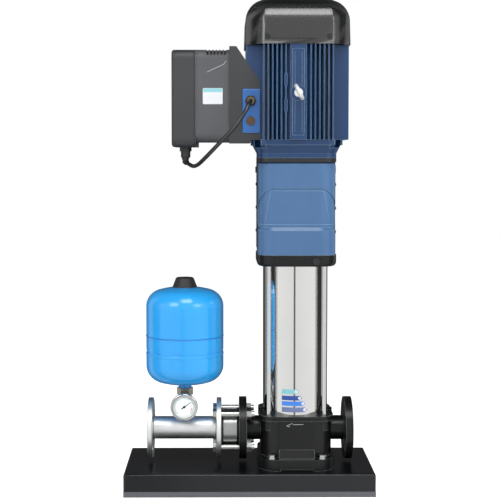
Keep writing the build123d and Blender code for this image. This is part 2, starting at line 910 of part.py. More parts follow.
with BuildPart() as guard_rear:
    add(guard_front.part)
    mirror(about=Plane.XZ, mode=Mode.REPLACE)
save(guard_rear, "guard_rear")

# ---------------------------------------------------------------------------
# Coupling: two clamped halves with their bolts
# ---------------------------------------------------------------------------

coupling_bolt_span = coupling_length - 2 * coupling_bolt_inset
coupling_bolt = bolt_body(coupling_bolt_size, 2 * coupling_radius - 22.0, 13.0, 5.0)

with BuildPart() as shaft_coupling:
    with BuildSketch(level(coupling_low)):
        Circle(coupling_radius)
    extrude(amount=coupling_length)
    chamfer(shaft_coupling.edges().filter_by(GeomType.CIRCLE), 1.5)
    with BuildSketch(level(coupling_low)):
        Circle(shaft_radius + press_gap)
    extrude(amount=coupling_length, mode=Mode.SUBTRACT)
    with BuildSketch(level(coupling_middle)):
        Circle(motor_shaft_radius + press_gap)
    extrude(amount=coupling_length, mode=Mode.SUBTRACT)
    with BuildSketch(level(coupling_low)):
        Rectangle(2 * coupling_radius, coupling_split)
    extrude(amount=coupling_length, mode=Mode.SUBTRACT)
    with BuildSketch(front(-coupling_radius + coupling_spot, pump_x, coupling_middle)):
        with GridLocations(coupling_bolt_pitch, coupling_bolt_span, 2, 2):
            Rectangle(24.0, 20.0)
    extrude(amount=coupling_spot, mode=Mode.SUBTRACT)
    with BuildSketch(front(-coupling_radius, pump_x, coupling_middle)):
        with GridLocations(coupling_bolt_pitch, coupling_bolt_span, 2, 2):
            Circle(coupling_bolt_size / 2 + press_gap)
    extrude(amount=-2 * coupling_radius, mode=Mode.SUBTRACT)
save(shaft_coupling, "shaft_coupling")

with BuildPart() as coupling_bolts:
    with Locations(front(-coupling_radius + coupling_spot, pump_x, coupling_middle)):
        with GridLocations(coupling_bolt_pitch, coupling_bolt_span, 2, 2):
            add(coupling_bolt)
save(coupling_bolts, "coupling_bolts")

# ---------------------------------------------------------------------------
# Motor
# ---------------------------------------------------------------------------

with BuildPart() as lower_end_shield:
    with BuildSketch(level(stool_top)):
        RectangleRounded(bell_low_width, bell_low_width, stool_corner)
    extrude(amount=bell_plate)
    with BuildSketch(level(stool_top + bell_plate)):
        RectangleRounded(bell_low_width, bell_low_width, stool_corner)
    with BuildSketch(level(frame_bottom - bell_flange_thick)):
        RectangleRounded(bell_high_width, bell_high_width, stool_corner + 11.0)
    loft()
    with BuildSketch(level(frame_bottom - bell_flange_thick)):
        RectangleRounded(bell_flange_width, bell_flange_width, stool_corner + 16.0)
    extrude(amount=bell_flange_thick)
    with BuildSketch(level(stool_top)):
        Circle(stool_bore - press_gap)
    extrude(amount=-stool_ring_thick / 2)
    with BuildSketch(level(frame_bottom)):
        Circle(stator_radius - 8.0)
    extrude(amount=-bell_flange_thick - 10.0, mode=Mode.SUBTRACT)
    bearing_low = stool_top + 6.0
    with BuildSketch(level(bearing_low)):
        Circle(motor_bearing_radius + 12.0)
    extrude(amount=motor_bearing_width)
    with BuildSketch(level(bearing_low)):
        Circle(motor_bearing_radius + press_gap)
    extrude(amount=bell_height, mode=Mode.SUBTRACT)
    with BuildSketch(level(stool_top - stool_ring_thick)):
        Circle(motor_shaft_radius + 1.0)
    extrude(amount=bell_height, mode=Mode.SUBTRACT)
    bolt_seat = stool_top + bell_plate + 14.0
    with BuildSketch(level(bolt_seat)):
        with corners(bell_bolt_offset + 5.0):
            Circle(2 * bell_bolt_size)
    extrude(amount=bell_height, mode=Mode.SUBTRACT)
    with BuildSketch(level(stool_top)):
        with corners(bell_bolt_offset):
            Circle(bell_bolt_size / 2 + 0.3)
    extrude(amount=bell_height, mode=Mode.SUBTRACT)
save(lower_end_shield, "lower_end_shield")

bell_bolt = bolt_body(bell_bolt_size, bolt_seat - ring_bottom - 1.0, 16.0, 10.0)

with BuildPart() as end_shield_bolts:
    with Locations(level(bolt_seat)):
        with corners(bell_bolt_offset):
            add(bell_bolt)
save(end_shield_bolts, "end_shield_bolts")

fin_root = 70.0
fin_length = frame_width / 2 - fin_root
fin_middle = (frame_width / 2 + fin_root) / 2
outer_fin = fin_face - fin_thick / 2

with BuildPart() as motor_frame:
    with BuildSketch(level(frame_bottom)):
        for row in range(front_fins):
            with GridLocations(2 * (outer_fin - row * fin_pitch), 2 * fin_middle, 2, 2):
                Rectangle(fin_thick, fin_length)
        for row in range(side_fins):
            with GridLocations(2 * fin_middle, 2 * (outer_fin - row * fin_pitch), 2, 2):
                Rectangle(fin_length, fin_thick)
    extrude(amount=frame_height)
    # Clear the flank for the terminal box
    with BuildSketch(level(box_low - 5.0)):
        with Locations((-box_root - frame_width / 2, 0)):
            Rectangle(frame_width, frame_width)
    extrude(amount=box_high - box_low + 11.0, mode=Mode.SUBTRACT)
    with BuildSketch(level(frame_bottom)):
        Circle(frame_core_radius)
        with GridLocations(0, frame_width - 40.0, 1, 2):
            Rectangle(pad_width, 40.0)
    extrude(amount=frame_height)
    with BuildSketch(level((box_low + box_high) / 2)):
        with Locations((-(box_pad + fin_root) / 2, 0)):
            Rectangle(box_pad - fin_root, 80.0)
    extrude(amount=(box_high - box_low) / 2 - box_wall - 1.0, both=True)
    with BuildSketch(level(frame_bottom + 11.0)):
        with GridLocations(0, frame_width - pad_recess, 1, 2):
            Rectangle(pad_recess_width, pad_recess)
    extrude(amount=frame_height - 23.0, mode=Mode.SUBTRACT)
    with BuildSketch(front(-frame_width / 2 + pad_recess, pump_x, frame_bottom + boss_height)):
        Circle(boss_radius)
    extrude(amount=pad_recess + boss_proud)
    lug_fin = -(outer_fin - (front_fins - 1) * fin_pitch)
    with BuildSketch(front(-frame_width / 2 + 8.0, pump_x + lug_fin, frame_bottom + boss_height)):
        with GridLocations(0, 65.0, 1, 2):
            SlotOverall(33.0, 8.0, rotation=90)
    extrude(amount=9.5)
    with BuildSketch(front(-frame_width / 2 - 5.0, pump_x, frame_bottom + boss_height)):
        Circle(6.0 + press_gap)
    extrude(amount=-21.0, mode=Mode.SUBTRACT)
    with BuildSketch(level(frame_bottom)):
        Circle(stator_radius + press_gap)
    extrude(amount=frame_height, mode=Mode.SUBTRACT)
save(motor_frame, "motor_frame")

with BuildPart() as stator_core:
    with BuildSketch(level(frame_bottom + core_start)):
        Circle(stator_radius)
        Circle(rotor_bore, mode=Mode.SUBTRACT)
    extrude(amount=core_length)
    with BuildSketch(level(frame_bottom + core_start - 25.0)):
        Circle(stator_radius - 8.0)
        Circle(rotor_bore + 6.0, mode=Mode.SUBTRACT)
    extrude(amount=core_length + 50.0)
save(stator_core, "stator_core")

with BuildPart() as rotor_core:
    with BuildSketch(level(frame_bottom + core_start)):
        Circle(rotor_bore - air_gap)
        Circle(motor_shaft_radius + press_gap, mode=Mode.SUBTRACT)
    extrude(amount=core_length)
save(rotor_core, "rotor_core")

bearing_high = frame_top + 4.0
lug_height = cowl_screw_height + 8.0
lug_reach = cowl_width / 2 - cowl_wall - lug_height * tan(radians(cowl_taper)) - soft_gap

with BuildPart() as upper_end_shield:
    with BuildSketch(level(frame_top)):
        Circle(frame_core_radius + 3.0)
    extrude(amount=10.0)
    with BuildSketch(level(frame_top)):
        with GridLocations(2 * cowl_screw_x, 2 * lug_reach - 40.0, 2, 2):
            Rectangle(20.0, 40.0)
    extrude(amount=lug_height)
    with BuildSketch(level(frame_top)):
        Circle(stator_radius - press_gap)
    extrude(amount=-6.0)
    with BuildSketch(level(frame_top)):
        Circle(motor_bearing_radius + 9.0)
    extrude(amount=motor_bearing_width + 4.0)
    with BuildSketch(level(frame_top - 6.0)):
        Circle(motor_bearing_radius - 4.0)
    extrude(amount=motor_bearing_width + 20.0, mode=Mode.SUBTRACT)
    with BuildSketch(level(bearing_high)):
        Circle(motor_bearing_radius + press_gap)
    extrude(amount=motor_bearing_width + 4.0, mode=Mode.SUBTRACT)
    with BuildSketch(front(-cowl_width, pump_x, frame_top + cowl_screw_height)):
        with GridLocations(2 * cowl_screw_x, 0, 2, 1):
            Circle(guard_screw_size / 2 + press_gap)
    extrude(amount=-2 * cowl_width, mode=Mode.SUBTRACT)
save(upper_end_shield, "upper_end_shield")

with BuildPart() as motor_bearings:
    with BuildSketch(level(bearing_low), level(bearing_high)):
        Circle(motor_bearing_radius)
        Circle(motor_shaft_radius + running_gap, mode=Mode.SUBTRACT)
    extrude(amount=motor_bearing_width)
save(motor_bearings, "motor_bearings")

with BuildPart() as motor_shaft:
    with BuildSketch(level(coupling_middle + 2.0)):
        Circle(motor_shaft_radius)
    extrude(amount=fan_z + fan_height - coupling_middle)
    chamfer(motor_shaft.edges().filter_by(GeomType.CIRCLE), 1.0)
save(motor_shaft, "motor_shaft")

with BuildPart() as cooling_fan:
    with BuildSketch(level(fan_z)):
        Circle(fan_radius - 22.0)
    extrude(amount=3.0)
    with BuildSketch(level(fan_z)):
        Circle(motor_shaft_radius + 13.0)
    extrude(amount=fan_height)
    with BuildSketch(level(fan_z)):
        with PolarLocations((fan_radius + motor_shaft_radius + 8.0) / 2, fan_blades):
            Rectangle(fan_radius - motor_shaft_radius - 8.0, 3.0)
    extrude(amount=fan_height)
    with BuildSketch(level(fan_z)):
        Circle(motor_shaft_radius + press_gap)
    extrude(amount=fan_height, mode=Mode.SUBTRACT)
save(cooling_fan, "cooling_fan")


def cowl_body(inset):
    """Solid of the fan cowl's outer form, moved in by a distance."""
    facet = cowl_facet / 2
    half = cowl_width / 2 - inset
    with BuildPart() as cowl:
        with BuildSketch(level(frame_top)):
            with BuildLine():
                Polyline(
                    (facet, -half),
                    (half, -facet),
                    (half, facet),
                    (facet, half),
                    (-facet, half),
                    (-half, facet),
                    (-half, -facet),
                    (-facet, -half),
                    close=True,
                )
            make_face()
        extrude(amount=cowl_height - inset, taper=cowl_taper)
        fillet(cowl.edges().filter_by_position(Axis.Z, cowl_top - inset, cowl_top + 1), cowl_round)
    return cowl.part


with BuildPart() as fan_cover:
    add(cowl_body(0.0))
    add(cowl_body(cowl_wall), mode=Mode.SUBTRACT)
    with BuildSketch(level(cowl_top - cowl_wall)):
        slot_rows = int(grille_radius / slot_pitch)
        for row in range(-slot_rows, slot_rows + 1):
            reach = sqrt(grille_radius**2 - (row * slot_pitch) ** 2)
            with Locations((0, row * slot_pitch)):
                with GridLocations(reach + 3.0, 0, 2, 1):
                    Rectangle(reach - 3.0, slot_width)
    extrude(amount=2 * cowl_wall, mode=Mode.SUBTRACT)
    with BuildSketch(front(-cowl_width, pump_x, frame_top + cowl_screw_height)):
        with GridLocations(2 * cowl_screw_x, 0, 2, 1):
            Circle(guard_screw_size / 2 + 0.2)
    extrude(amount=-2 * cowl_width, mode=Mode.SUBTRACT)
save(fan_cover, "fan_cover")

# ---------------------------------------------------------------------------
# Screws of the covers, and the lifting eye
# ---------------------------------------------------------------------------

cowl_screw_head = 6.0
cowl_screw_fall = cowl_screw_height - cowl_screw_head
cowl_screw_y = cowl_width / 2 - cowl_screw_fall * tan(radians(cowl_taper))
guard_screw_body = screw_body(guard_screw_size, 12.0, 4.5, 3.6)
cowl_screw_body = screw_body(guard_screw_size, 20.0, cowl_screw_head, 4.0)

with BuildPart() as cover_screws:
    for side in (-1, 1):
        for height in guard_screw_heights:
            flank = Plane(
                origin=(pump_x + side * guard_width / 2, 0, head_top + height),
                x_dir=(0, 1, 0),
                z_dir=(side, 0, 0),
            )
            with Locations(flank):
                with GridLocations(2 * guard_screw_y, 0, 2, 1):
                    add(guard_screw_body)
        cowl_face = Plane(
            origin=(pump_x, side * cowl_screw_y, frame_top + cowl_screw_height),
            x_dir=(1, 0, 0),
            z_dir=(0, side, 0),
        )
        with Locations(cowl_face):
            with GridLocations(2 * cowl_screw_x, 0, 2, 1):
                add(cowl_screw_body)
save(cover_screws, "cover_screws")

eye_seat_y = frame_width / 2 + boss_proud
eye_z = frame_bottom + boss_height

with BuildPart() as eye_bolt:
    with BuildSketch(front(-eye_seat_y, pump_x, eye_z)):
        Circle(6.0)
    extrude(amount=-16.0)
    with BuildSketch(front(-eye_seat_y, pump_x, eye_z)):
        Circle(11.0)
    extrude(amount=5.0)
    ring_plane = Plane(
        origin=(pump_x, -eye_seat_y - 5.0 - eye_ring - 1.0, eye_z),
        x_dir=(0, 1, 0),
        z_dir=(cos(radians(eye_tilt)), 0, sin(radians(eye_tilt))),
    )
    with Locations(ring_plane):
        Torus(eye_ring, eye_wire)
save(eye_bolt, "eye_bolt")

# ---------------------------------------------------------------------------
# Terminal box with its glands
# ---------------------------------------------------------------------------

box_middle = (box_face + box_root) / 2
box_height = box_high - box_low

with BuildPart() as terminal_box:
    with BuildSketch(level(box_low)):
        with Locations((-box_middle, 0)):
            Rectangle(box_face - box_root, 2 * box_half_width)
    extrude(amount=box_height)
    fillet(terminal_box.edges().filter_by(Axis.Z).group_by(Axis.X)[0], 6.0)
    fillet(terminal_box.faces().sort_by(Axis.Z)[-1].edges().group_by(Axis.X)[0], 3.0)
    with BuildSketch(level(box_low + box_wall)):
        with Locations((-box_middle + box_wall, 0)):
            Rectangle(box_face - box_root, 2 * (box_half_width - box_wall))
    extrude(amount=box_height - 2 * box_wall, mode=Mode.SUBTRACT)
    with BuildSketch(level(box_low + box_wall)):
        with Locations((-box_pad - 1.5, 0)):
            Rectangle(3.0, 2 * (box_half_width - box_wall))
            Circle(9.0, mode=Mode.SUBTRACT)
    extrude(amount=box_height - 2 * box_wall)
    with BuildSketch(level(box_low)):
        Circle(frame_core_radius + soft_gap)
    extrude(amount=box_height, mode=Mode.SUBTRACT)
    for entry_z in (gland_z, blank_z):
        with BuildSketch(front(-box_half_width, pump_x - gland_x, entry_z)):
            Circle(gland_entry + press_gap)
        extrude(amount=-box_wall, mode=Mode.SUBTRACT)
save(terminal_box, "terminal_box")

with BuildPart() as terminal_gland:
    with BuildSketch(front(-box_half_width, pump_x - gland_x, gland_z)):
        Circle(gland_entry)
    extrude(amount=-box_wall + 0.2)
    with BuildSketch(front(-box_half_width, pump_x - gland_x, gland_z)):
        RegularPolygon(gland_radius - 1.0, 6, major_radius=False)
    extrude(amount=6.0)
    with BuildSketch(front(-box_half_width - 6.0, pump_x - gland_x, gland_z)):
        Circle(gland_radius - 2.0)
    extrude(amount=gland_length - 6.0)
    fillet(terminal_gland.faces().sort_by(Axis.Y)[0].edges(), 4.0)
save(terminal_gland, "terminal_gland")

with BuildPart() as blank_plug:
    with BuildSketch(front(-box_half_width, pump_x - gland_x, blank_z)):
        Circle(gland_entry)
    extrude(amount=-box_wall + 0.2)
    with BuildSketch(front(-box_half_width, pump_x - gland_x, blank_z)):
        Circle(blank_radius)
    extrude(amount=3.0)
    with BuildSketch(front(-box_half_width - 3.0, pump_x - gland_x, blank_z)):
        RegularPolygon(7.0, 6, major_radius=False)
    extrude(amount=2.0)
save(blank_plug, "blank_plug")

# ---------------------------------------------------------------------------
# Inverter on its bracket
# ---------------------------------------------------------------------------


def bracket_outline(inset):
    """Side view of the bracket: upright back, sloped upper edge, flat foot."""
    slope = (bracket_high - bracket_toe_z) / (bracket_shoulder - box_root)
    drop = inset * sqrt(1 + slope**2)
    return (
        (-bracket_back + inset, bracket_low + inset),
        (-box_root + inset, bracket_low + inset),
        (-box_root + inset, bracket_toe_z - drop - slope * inset),
        (-bracket_shoulder + inset * 0.6, bracket_high - inset),
        (-bracket_back + inset, bracket_high - inset),
    )


bracket_half = fin_face + bracket_wall
shelf_end = frame_width / 2 + 1.5

with BuildPart() as inverter_bracket:
    with BuildSketch(front(0)):
        with BuildLine():
            Polyline(*bracket_outline(0.0), close=True)
        make_face()
    extrude(amount=bracket_half, both=True)
    with BuildSketch(front(0)):
        with BuildLine():
            Polyline(*bracket_outline(bracket_wall), close=True)
        make_face()
    extrude(amount=fin_face, both=True, mode=Mode.SUBTRACT)
    with BuildSketch(level(bracket_low)):
        with Locations((-shelf_end + bracket_back / 2, 0)):
            Rectangle(bracket_back, 2 * fin_face)
    extrude(amount=bracket_high - bracket_low, mode=Mode.SUBTRACT)
    with BuildSketch(level(box_low - soft_gap)):
        with Locations((-box_face - soft_gap + bracket_back / 2, 0)):
            Rectangle(bracket_back, 4 * fin_face)
    extrude(amount=box_height + 2 * soft_gap, mode=Mode.SUBTRACT)
    with BuildSketch(level(bracket_low)):
        with Locations((bracket_back / 2 - bell_flange_width / 2 - 1.0, 0)):
            Rectangle(bracket_back, 4 * fin_face)
    extrude(amount=frame_bottom + soft_gap - bracket_low, mode=Mode.SUBTRACT)
save(inverter_bracket, "inverter_bracket")


def inverter_prism(near, far, low, inset=0.0):
    """Length of the inverter's rounded section between two distances from the pump axis."""
    height = inverter_high - low - 2 * inset
    middle = (inverter_high + low) / 2
    plane = Plane(origin=(pump_x - near, 0, middle), x_dir=(0, -1, 0), z_dir=(-1, 0, 0))
    with BuildPart() as prism:
        with BuildSketch(plane):
            RectangleRounded(2 * (inverter_half_width - inset), height, inverter_round - inset)
        extrude(amount=far - near)
    return prism.part


with BuildPart() as inverter_heatsink:
    add(inverter_prism(bracket_back, inverter_split, sink_low))
    with BuildSketch(level(inverter_high)):
        for slot in range(comb_count):
            with Locations((-comb_start - slot * comb_pitch, 0)):
                Rectangle(comb_slot, 2 * inverter_half_width)
    extrude(amount=-comb_depth, mode=Mode.SUBTRACT)
    with BuildSketch(level(inverter_high)):
        for slot in range(comb_count):
            with Locations((-comb_start - slot * comb_pitch, 0)):
                Rectangle(comb_slot, 2 * inverter_half_width - 50.0)
    extrude(amount=sink_low - inverter_high, mode=Mode.SUBTRACT)
    comb_end = comb_start + (comb_count - 1) * comb_pitch
    for side in (-1, 1):
        flank = Plane(
            origin=(pump_x, side * inverter_half_width, 0), x_dir=(1, 0, 0), z_dir=(0, -1, 0)
        )
        with BuildSketch(flank):
            with BuildLine():
                Polyline(
                    (-bracket_back - 3.0, inverter_high - comb_depth),
                    (-bracket_back - 3.0, inverter_high - 36.0),
                    (-comb_start - 4.0, inverter_high - 43.0),
                    (-comb_end - 5.0, inverter_high - 62.0),
                    (-comb_end - 5.0, inverter_high - comb_depth),
                    close=True,
                )
            make_face()
        extrude(amount=sink_recess, both=True, mode=Mode.SUBTRACT)
save(inverter_heatsink, "inverter_heatsink")

key_plane = Plane(
    origin=(pump_x - inverter_face, 0, key_z), x_dir=(0, -1, 0), z_dir=(-1, 0, 0)
)
display_plane = Plane(
    origin=(pump_x - inverter_face, 0, display_z), x_dir=(0, -1, 0), z_dir=(-1, 0, 0)
)

with BuildPart() as inverter_cover:
    add(inverter_prism(inverter_split, inverter_face, cover_low))
    fillet(inverter_cover.faces().sort_by(Axis.X)[0].edges(), 7.0)
    with BuildSketch(level(cover_low)):
        with Locations((-inverter_split + cover_lip / 2, 0)):
            Rectangle(cover_lip, 2 * (inverter_half_width - inverter_round))
    extrude(amount=sink_low - cover_low - soft_gap)
    add(
        inverter_prism(
            inverter_split, inverter_face - cover_wall, cover_low, inset=cover_wall
        ),
        mode=Mode.SUBTRACT,
    )
    with BuildSketch(display_plane):
        RectangleRounded(display_width, display_height, 3.0)
    extrude(amount=-1.5, mode=Mode.SUBTRACT)
    with BuildSketch(key_plane):
        with GridLocations(key_pitch, 0, key_count, 1):
            Circle(key_radius + soft_gap)
    extrude(amount=-cover_wall, mode=Mode.SUBTRACT)
    with BuildSketch(level(cover_low)):
        with Locations((gland_drop_x, gland_drop_y)):
            Circle(gland_entry + press_gap)
    extrude(amount=cover_wall, mode=Mode.SUBTRACT)
save(inverter_cover, "inverter_cover")

with BuildPart() as display_window:
    with BuildSketch(display_plane):
        RectangleRounded(display_width - 0.2, display_height - 0.2, 2.9)
    extrude(amount=-1.5)
save(display_window, "display_window")

key_flange_x = inverter_face - cover_wall - soft_gap
for number in range(key_count):
    key_y = (number - (key_count - 1) / 2) * key_pitch
    with BuildPart() as keypad_key:
        with BuildSketch(key_plane):
            with Locations((key_y, 0)):
                Circle(key_radius)
        extrude(amount=1.5)
        with BuildSketch(key_plane):
            with Locations((key_y, 0)):
                Circle(key_radius)
        extrude(amount=-cover_wall - soft_gap)
        chamfer(keypad_key.faces().sort_by(Axis.X)[0].edges(), 1.0)
        with BuildSketch(key_plane.offset(-cover_wall - soft_gap)):
            with Locations((key_y, 0)):
                Circle(key_radius + 2.0)
        extrude(amount=-1.5)
    save(keypad_key, f"keypad_key_{number + 1}")

# ---------------------------------------------------------------------------
# Motor cable and its gland under the inverter
# ---------------------------------------------------------------------------

route = [Vector(pump_x + x, y, z) for x, y, z in cable_points]
bend_radii = []
for before, corner, after in zip(route, route[1:], route[2:]):
    arriving = corner - before
    leaving = after - corner
    half_turn = radians(arriving.get_angle(leaving)) / 2
    bend_radii.append(0.45 * min(arriving.length, leaving.length) / tan(half_turn))
print("cable bend radii:", [round(bend, 1) for bend in bend_radii])

with BuildLine() as cable_path:
    FilletPolyline(*route, radius=bend_radii)

with BuildPart() as motor_cable:
    add(cable_path.line)
    with BuildSketch(Plane(origin=route[0], z_dir=route[1] - route[0])):
        Circle(cable_diameter / 2)
    sweep()
cable_length = sum(edge.length for edge in cable_path.edges())
cable_section = pi * (cable_diameter / 2) ** 2
print("cable length:", round(cable_length, 1))
print("volume ratio:", round(motor_cable.part.volume / (cable_length * cable_section), 4))
save(motor_cable, "motor_cable")

boot_direction = (route[-2] - route[-1]).normalized()

with BuildPart() as inverter_gland:
    with BuildSketch(level(cover_low)):
        with Locations((gland_drop_x, gland_drop_y)):
            Circle(gland_entry)
    extrude(amount=cover_wall - 0.2)
    with BuildSketch(level(cover_low)):
        with Locations((gland_drop_x, gland_drop_y)):
            RegularPolygon(gland_radius, 6, major_radius=False)
    extrude(amount=-11.0)
    with BuildSketch(level(cover_low)):
        with Locations((gland_drop_x, gland_drop_y)):
            Circle(gland_radius - 1.0)
    extrude(amount=-gland_drop)
    fillet(inverter_gland.faces().sort_by(Axis.Z)[0].edges(), 4.0)
    with Locations((pump_x + gland_drop_x - 0.5, gland_drop_y + 0.5, cover_low - gland_drop - 1.0)):
        Sphere(9.5)
    with BuildSketch(Plane(origin=route[-1], z_dir=boot_direction)):
        Circle(cable_diameter / 2 + 2.5)
    extrude(amount=-9.0)
save(inverter_gland, "inverter_gland")

# ---------------------------------------------------------------------------
# Outlet train: check valve, gaskets, spool, and the bolts through all of them
# ---------------------------------------------------------------------------

valve_near = port_reach + gasket_thick
valve_far = valve_near + valve_length
spool_near = valve_far + gasket_thick
spool_far = spool_near + spool_length
hinge_reach = valve_near + 14.0
hinge_z = port_z + hinge_rise
seat_reach = hinge_reach - disc_thick - soft_gap

with BuildPart() as pipe_gaskets:
    with BuildSketch(across(port_reach), across(valve_far)):
        Circle(valve_radius - 2.0)
        Circle(port_bore / 2 + 2.5, mode=Mode.SUBTRACT)
    extrude(amount=gasket_thick)
save(pipe_gaskets, "pipe_gaskets")

with BuildPart() as check_valve_body:
    with BuildSketch(across(valve_near)):
        Circle(valve_radius)
    extrude(amount=valve_length)
    chamfer(check_valve_body.edges().filter_by(GeomType.CIRCLE), 4.0)
    with BuildSketch(across(valve_near)):
        Circle(seat_bore / 2)
    extrude(amount=valve_length, mode=Mode.SUBTRACT)
    with BuildSketch(across(seat_reach)):
        Circle(valve_chamber)
    extrude(amount=valve_far - seat_reach, mode=Mode.SUBTRACT)
    # Hanger of the disc: two cheeks under the roof of the chamber
    for side in (-1, 1):
        cheek = Plane(
            origin=(pump_x - hinge_reach, side * cheek_gap / 2, hinge_z),
            x_dir=(1, 0, 0),
            z_dir=(0, side, 0),
        )
        with BuildSketch(cheek):
            with Locations((0, -side * 4.0)):
                Rectangle(12.0, 14.0)
            Circle(disc_pin_radius + running_gap, mode=Mode.SUBTRACT)
        extrude(amount=cheek_thick)
save(check_valve_body, "check_valve_body")

hinge_section = Plane(
    origin=(pump_x - hinge_reach, 0, hinge_z), x_dir=(1, 0, 0), z_dir=(0, -1, 0)
)

with BuildPart() as check_disc:
    with BuildSketch(
        Plane(
            origin=(pump_x - hinge_reach, 0, port_z - disc_drop),
            x_dir=(0, -1, 0),
            z_dir=(-1, 0, 0),
        )
    ):
        Circle(disc_radius)
    extrude(amount=-disc_thick)
    with BuildSketch(hinge_section):
        Circle(disc_thick)
        with Locations((disc_thick / 2 - 1.0, -disc_thick - 3.0)):
            Rectangle(disc_thick + 2.0, 2 * disc_thick + 6.0)
    extrude(amount=cheek_gap / 2 - soft_gap, both=True)
    with BuildSketch(hinge_section):
        Circle(disc_pin_radius)
    extrude(amount=cheek_gap / 2 + cheek_thick, both=True)
save(check_disc, "check_disc")

with BuildPart() as spool_pipe:
    with BuildSketch(across(spool_near)):
        Circle(spool_radius)
    extrude(amount=spool_length)
    with BuildSketch(across(spool_near), across(spool_far - spool_flange_thick)):
        Circle(spool_flange_diameter / 2)
    extrude(amount=spool_flange_thick)
    chamfer(
        spool_pipe.edges().filter_by(GeomType.CIRCLE).filter_by(
            lambda edge: edge.radius > spool_radius + 1.0
        ),
        1.2,
    )
    with BuildSketch(Plane(origin=(tank_x, 0, port_z))):
        Circle(riser_radius)
    extrude(amount=riser_top - port_z)
    with BuildSketch(across(spool_near)):
        Circle(spool_radius - spool_wall)
    extrude(amount=spool_length, mode=Mode.SUBTRACT)
    with BuildSketch(Plane(origin=(tank_x, 0, port_z))):
        Circle(riser_bore)
    extrude(amount=riser_top - port_z, mode=Mode.SUBTRACT)
    with BuildSketch(across(spool_near), across(spool_far - spool_flange_thick)):
        with PolarLocations(bolt_circle / 2, flange_bolt_count, start_angle=45):
            Circle(flange_hole / 2)
    extrude(amount=spool_flange_thick, mode=Mode.SUBTRACT)
save(spool_pipe, "spool_pipe")

bolt_head_reach = spool_near + spool_flange_thick
nut_thick = 13.0
nut_reach = port_reach - port_flange_thick
bolt_length = bolt_head_reach - nut_reach + nut_thick + 8.0
train_bolt = bolt_body(flange_bolt_size, bolt_length, 24.0, 10.0)
train_nut = nut_body(flange_bolt_size, nut_thick, 24.0)

with BuildPart() as flange_bolts:
    with Locations(across(bolt_head_reach)):
        with PolarLocations(bolt_circle / 2, flange_bolt_count, start_angle=45):
            add(train_bolt)
    with Locations(across(nut_reach - nut_thick)):
        with PolarLocations(bolt_circle / 2, flange_bolt_count, start_angle=45):
            add(train_nut)
save(flange_bolts, "flange_bolts")

# ---------------------------------------------------------------------------
# Gauge tee, union and diaphragm tank on the riser
# ---------------------------------------------------------------------------

with BuildPart() as gauge_tee:
    with BuildSketch(Plane(origin=(tank_x, 0, riser_top))):
        Circle(riser_radius)
    extrude(amount=tee_top - riser_top)
    chamfer(gauge_tee.edges(), 1.0)
    with BuildSketch(front(0, tank_x, gauge_z)):
        Circle(tee_branch_radius)
    extrude(amount=tee_branch_reach)
    with BuildSketch(Plane(origin=(tank_x, 0, riser_top))):
        Circle(riser_bore)
    extrude(amount=tee_top - riser_top, mode=Mode.SUBTRACT)
    with BuildSketch(front(0, tank_x, gauge_z)):
        Circle(riser_bore / 2)
    extrude(amount=tee_branch_reach, mode=Mode.SUBTRACT)
save(gauge_tee, "gauge_tee")

with BuildPart() as tank_union:
    with BuildSketch(Plane(origin=(tank_x, 0, tee_top))):
        RegularPolygon(union_across / 2, 6, major_radius=False)
    extrude(amount=union_top - tee_top)
    chamfer(tank_union.edges().filter_by(Axis.Z, reverse=True), 1.2)
    with BuildSketch(Plane(origin=(tank_x, 0, tee_top))):
        Circle(riser_bore)
    extrude(amount=union_top - tee_top, mode=Mode.SUBTRACT)
save(tank_union, "tank_union")


def tank_body(inset):
    """Solid of the tank's domed form, moved in by a distance."""
    turn = radians(tank_knuckle_turn)
    side = tank_radius - inset
    knuckle = tank_knuckle - inset
    centre_r = tank_radius - tank_knuckle
    crown = tank_knuckle + centre_r / cos(turn) - inset
    rise = crown - centre_r * tan(turn)
    upper = tank_high - inset - rise
    lower = tank_low + inset + rise
    middle_turn = turn / 2
    crown_turn = (pi / 2 + turn) / 2
    with BuildPart() as body:
        with BuildSketch(tank_section):
            with BuildLine():
                Line((0, tank_low + inset), (0, tank_high - inset))
                for base, up in ((upper, 1), (lower, -1)):
                    ThreePointArc(
                        (side, base),
                        (
                            centre_r + knuckle * cos(middle_turn),
                            base + up * knuckle * sin(middle_turn),
                        ),
                        (centre_r + knuckle * cos(turn), base + up * knuckle * sin(turn)),
                    )
                    ThreePointArc(
                        (centre_r + knuckle * cos(turn), base + up * knuckle * sin(turn)),
                        (
                            crown * cos(crown_turn),
                            base + up * (crown * sin(crown_turn) - centre_r * tan(turn)),
                        ),
                        (0, base + up * rise),
                    )
                Line((side, lower), (side, upper))
            make_face()
        revolve(axis=tank_axis)
    return body.part


with BuildPart() as tank_shell:
    add(tank_body(0.0))
    with BuildSketch(Plane(origin=(tank_x, 0, union_top))):
        Circle(tank_neck_radius)
    extrude(amount=tank_low - union_top + 6.0)
    with BuildSketch(Plane(origin=(tank_x, 0, tank_high - 4.0))):
        Circle(valve_boss)
    extrude(amount=5.0)
    add(tank_body(tank_wall), mode=Mode.SUBTRACT)
    with BuildSketch(Plane(origin=(tank_x, 0, union_top))):
        Circle(riser_bore)
    extrude(amount=tank_low - union_top + 8.0, mode=Mode.SUBTRACT)
    with BuildSketch(tank_section):
        with Locations((tank_radius, tank_waist_z)):
            Rectangle(2.6, 7.0, rotation=0)
        with Locations((tank_radius, tank_seam_z)):
            Rectangle(1.0, 2.5)
    revolve(axis=tank_axis, mode=Mode.SUBTRACT)
save(tank_shell, "tank_shell")

bladder_radius = tank_radius - tank_wall - soft_gap
bladder_rim = tank_waist_z + 6.0
bladder_depth = 62.0
bladder_round = 34.0
bladder_reach = 60.0


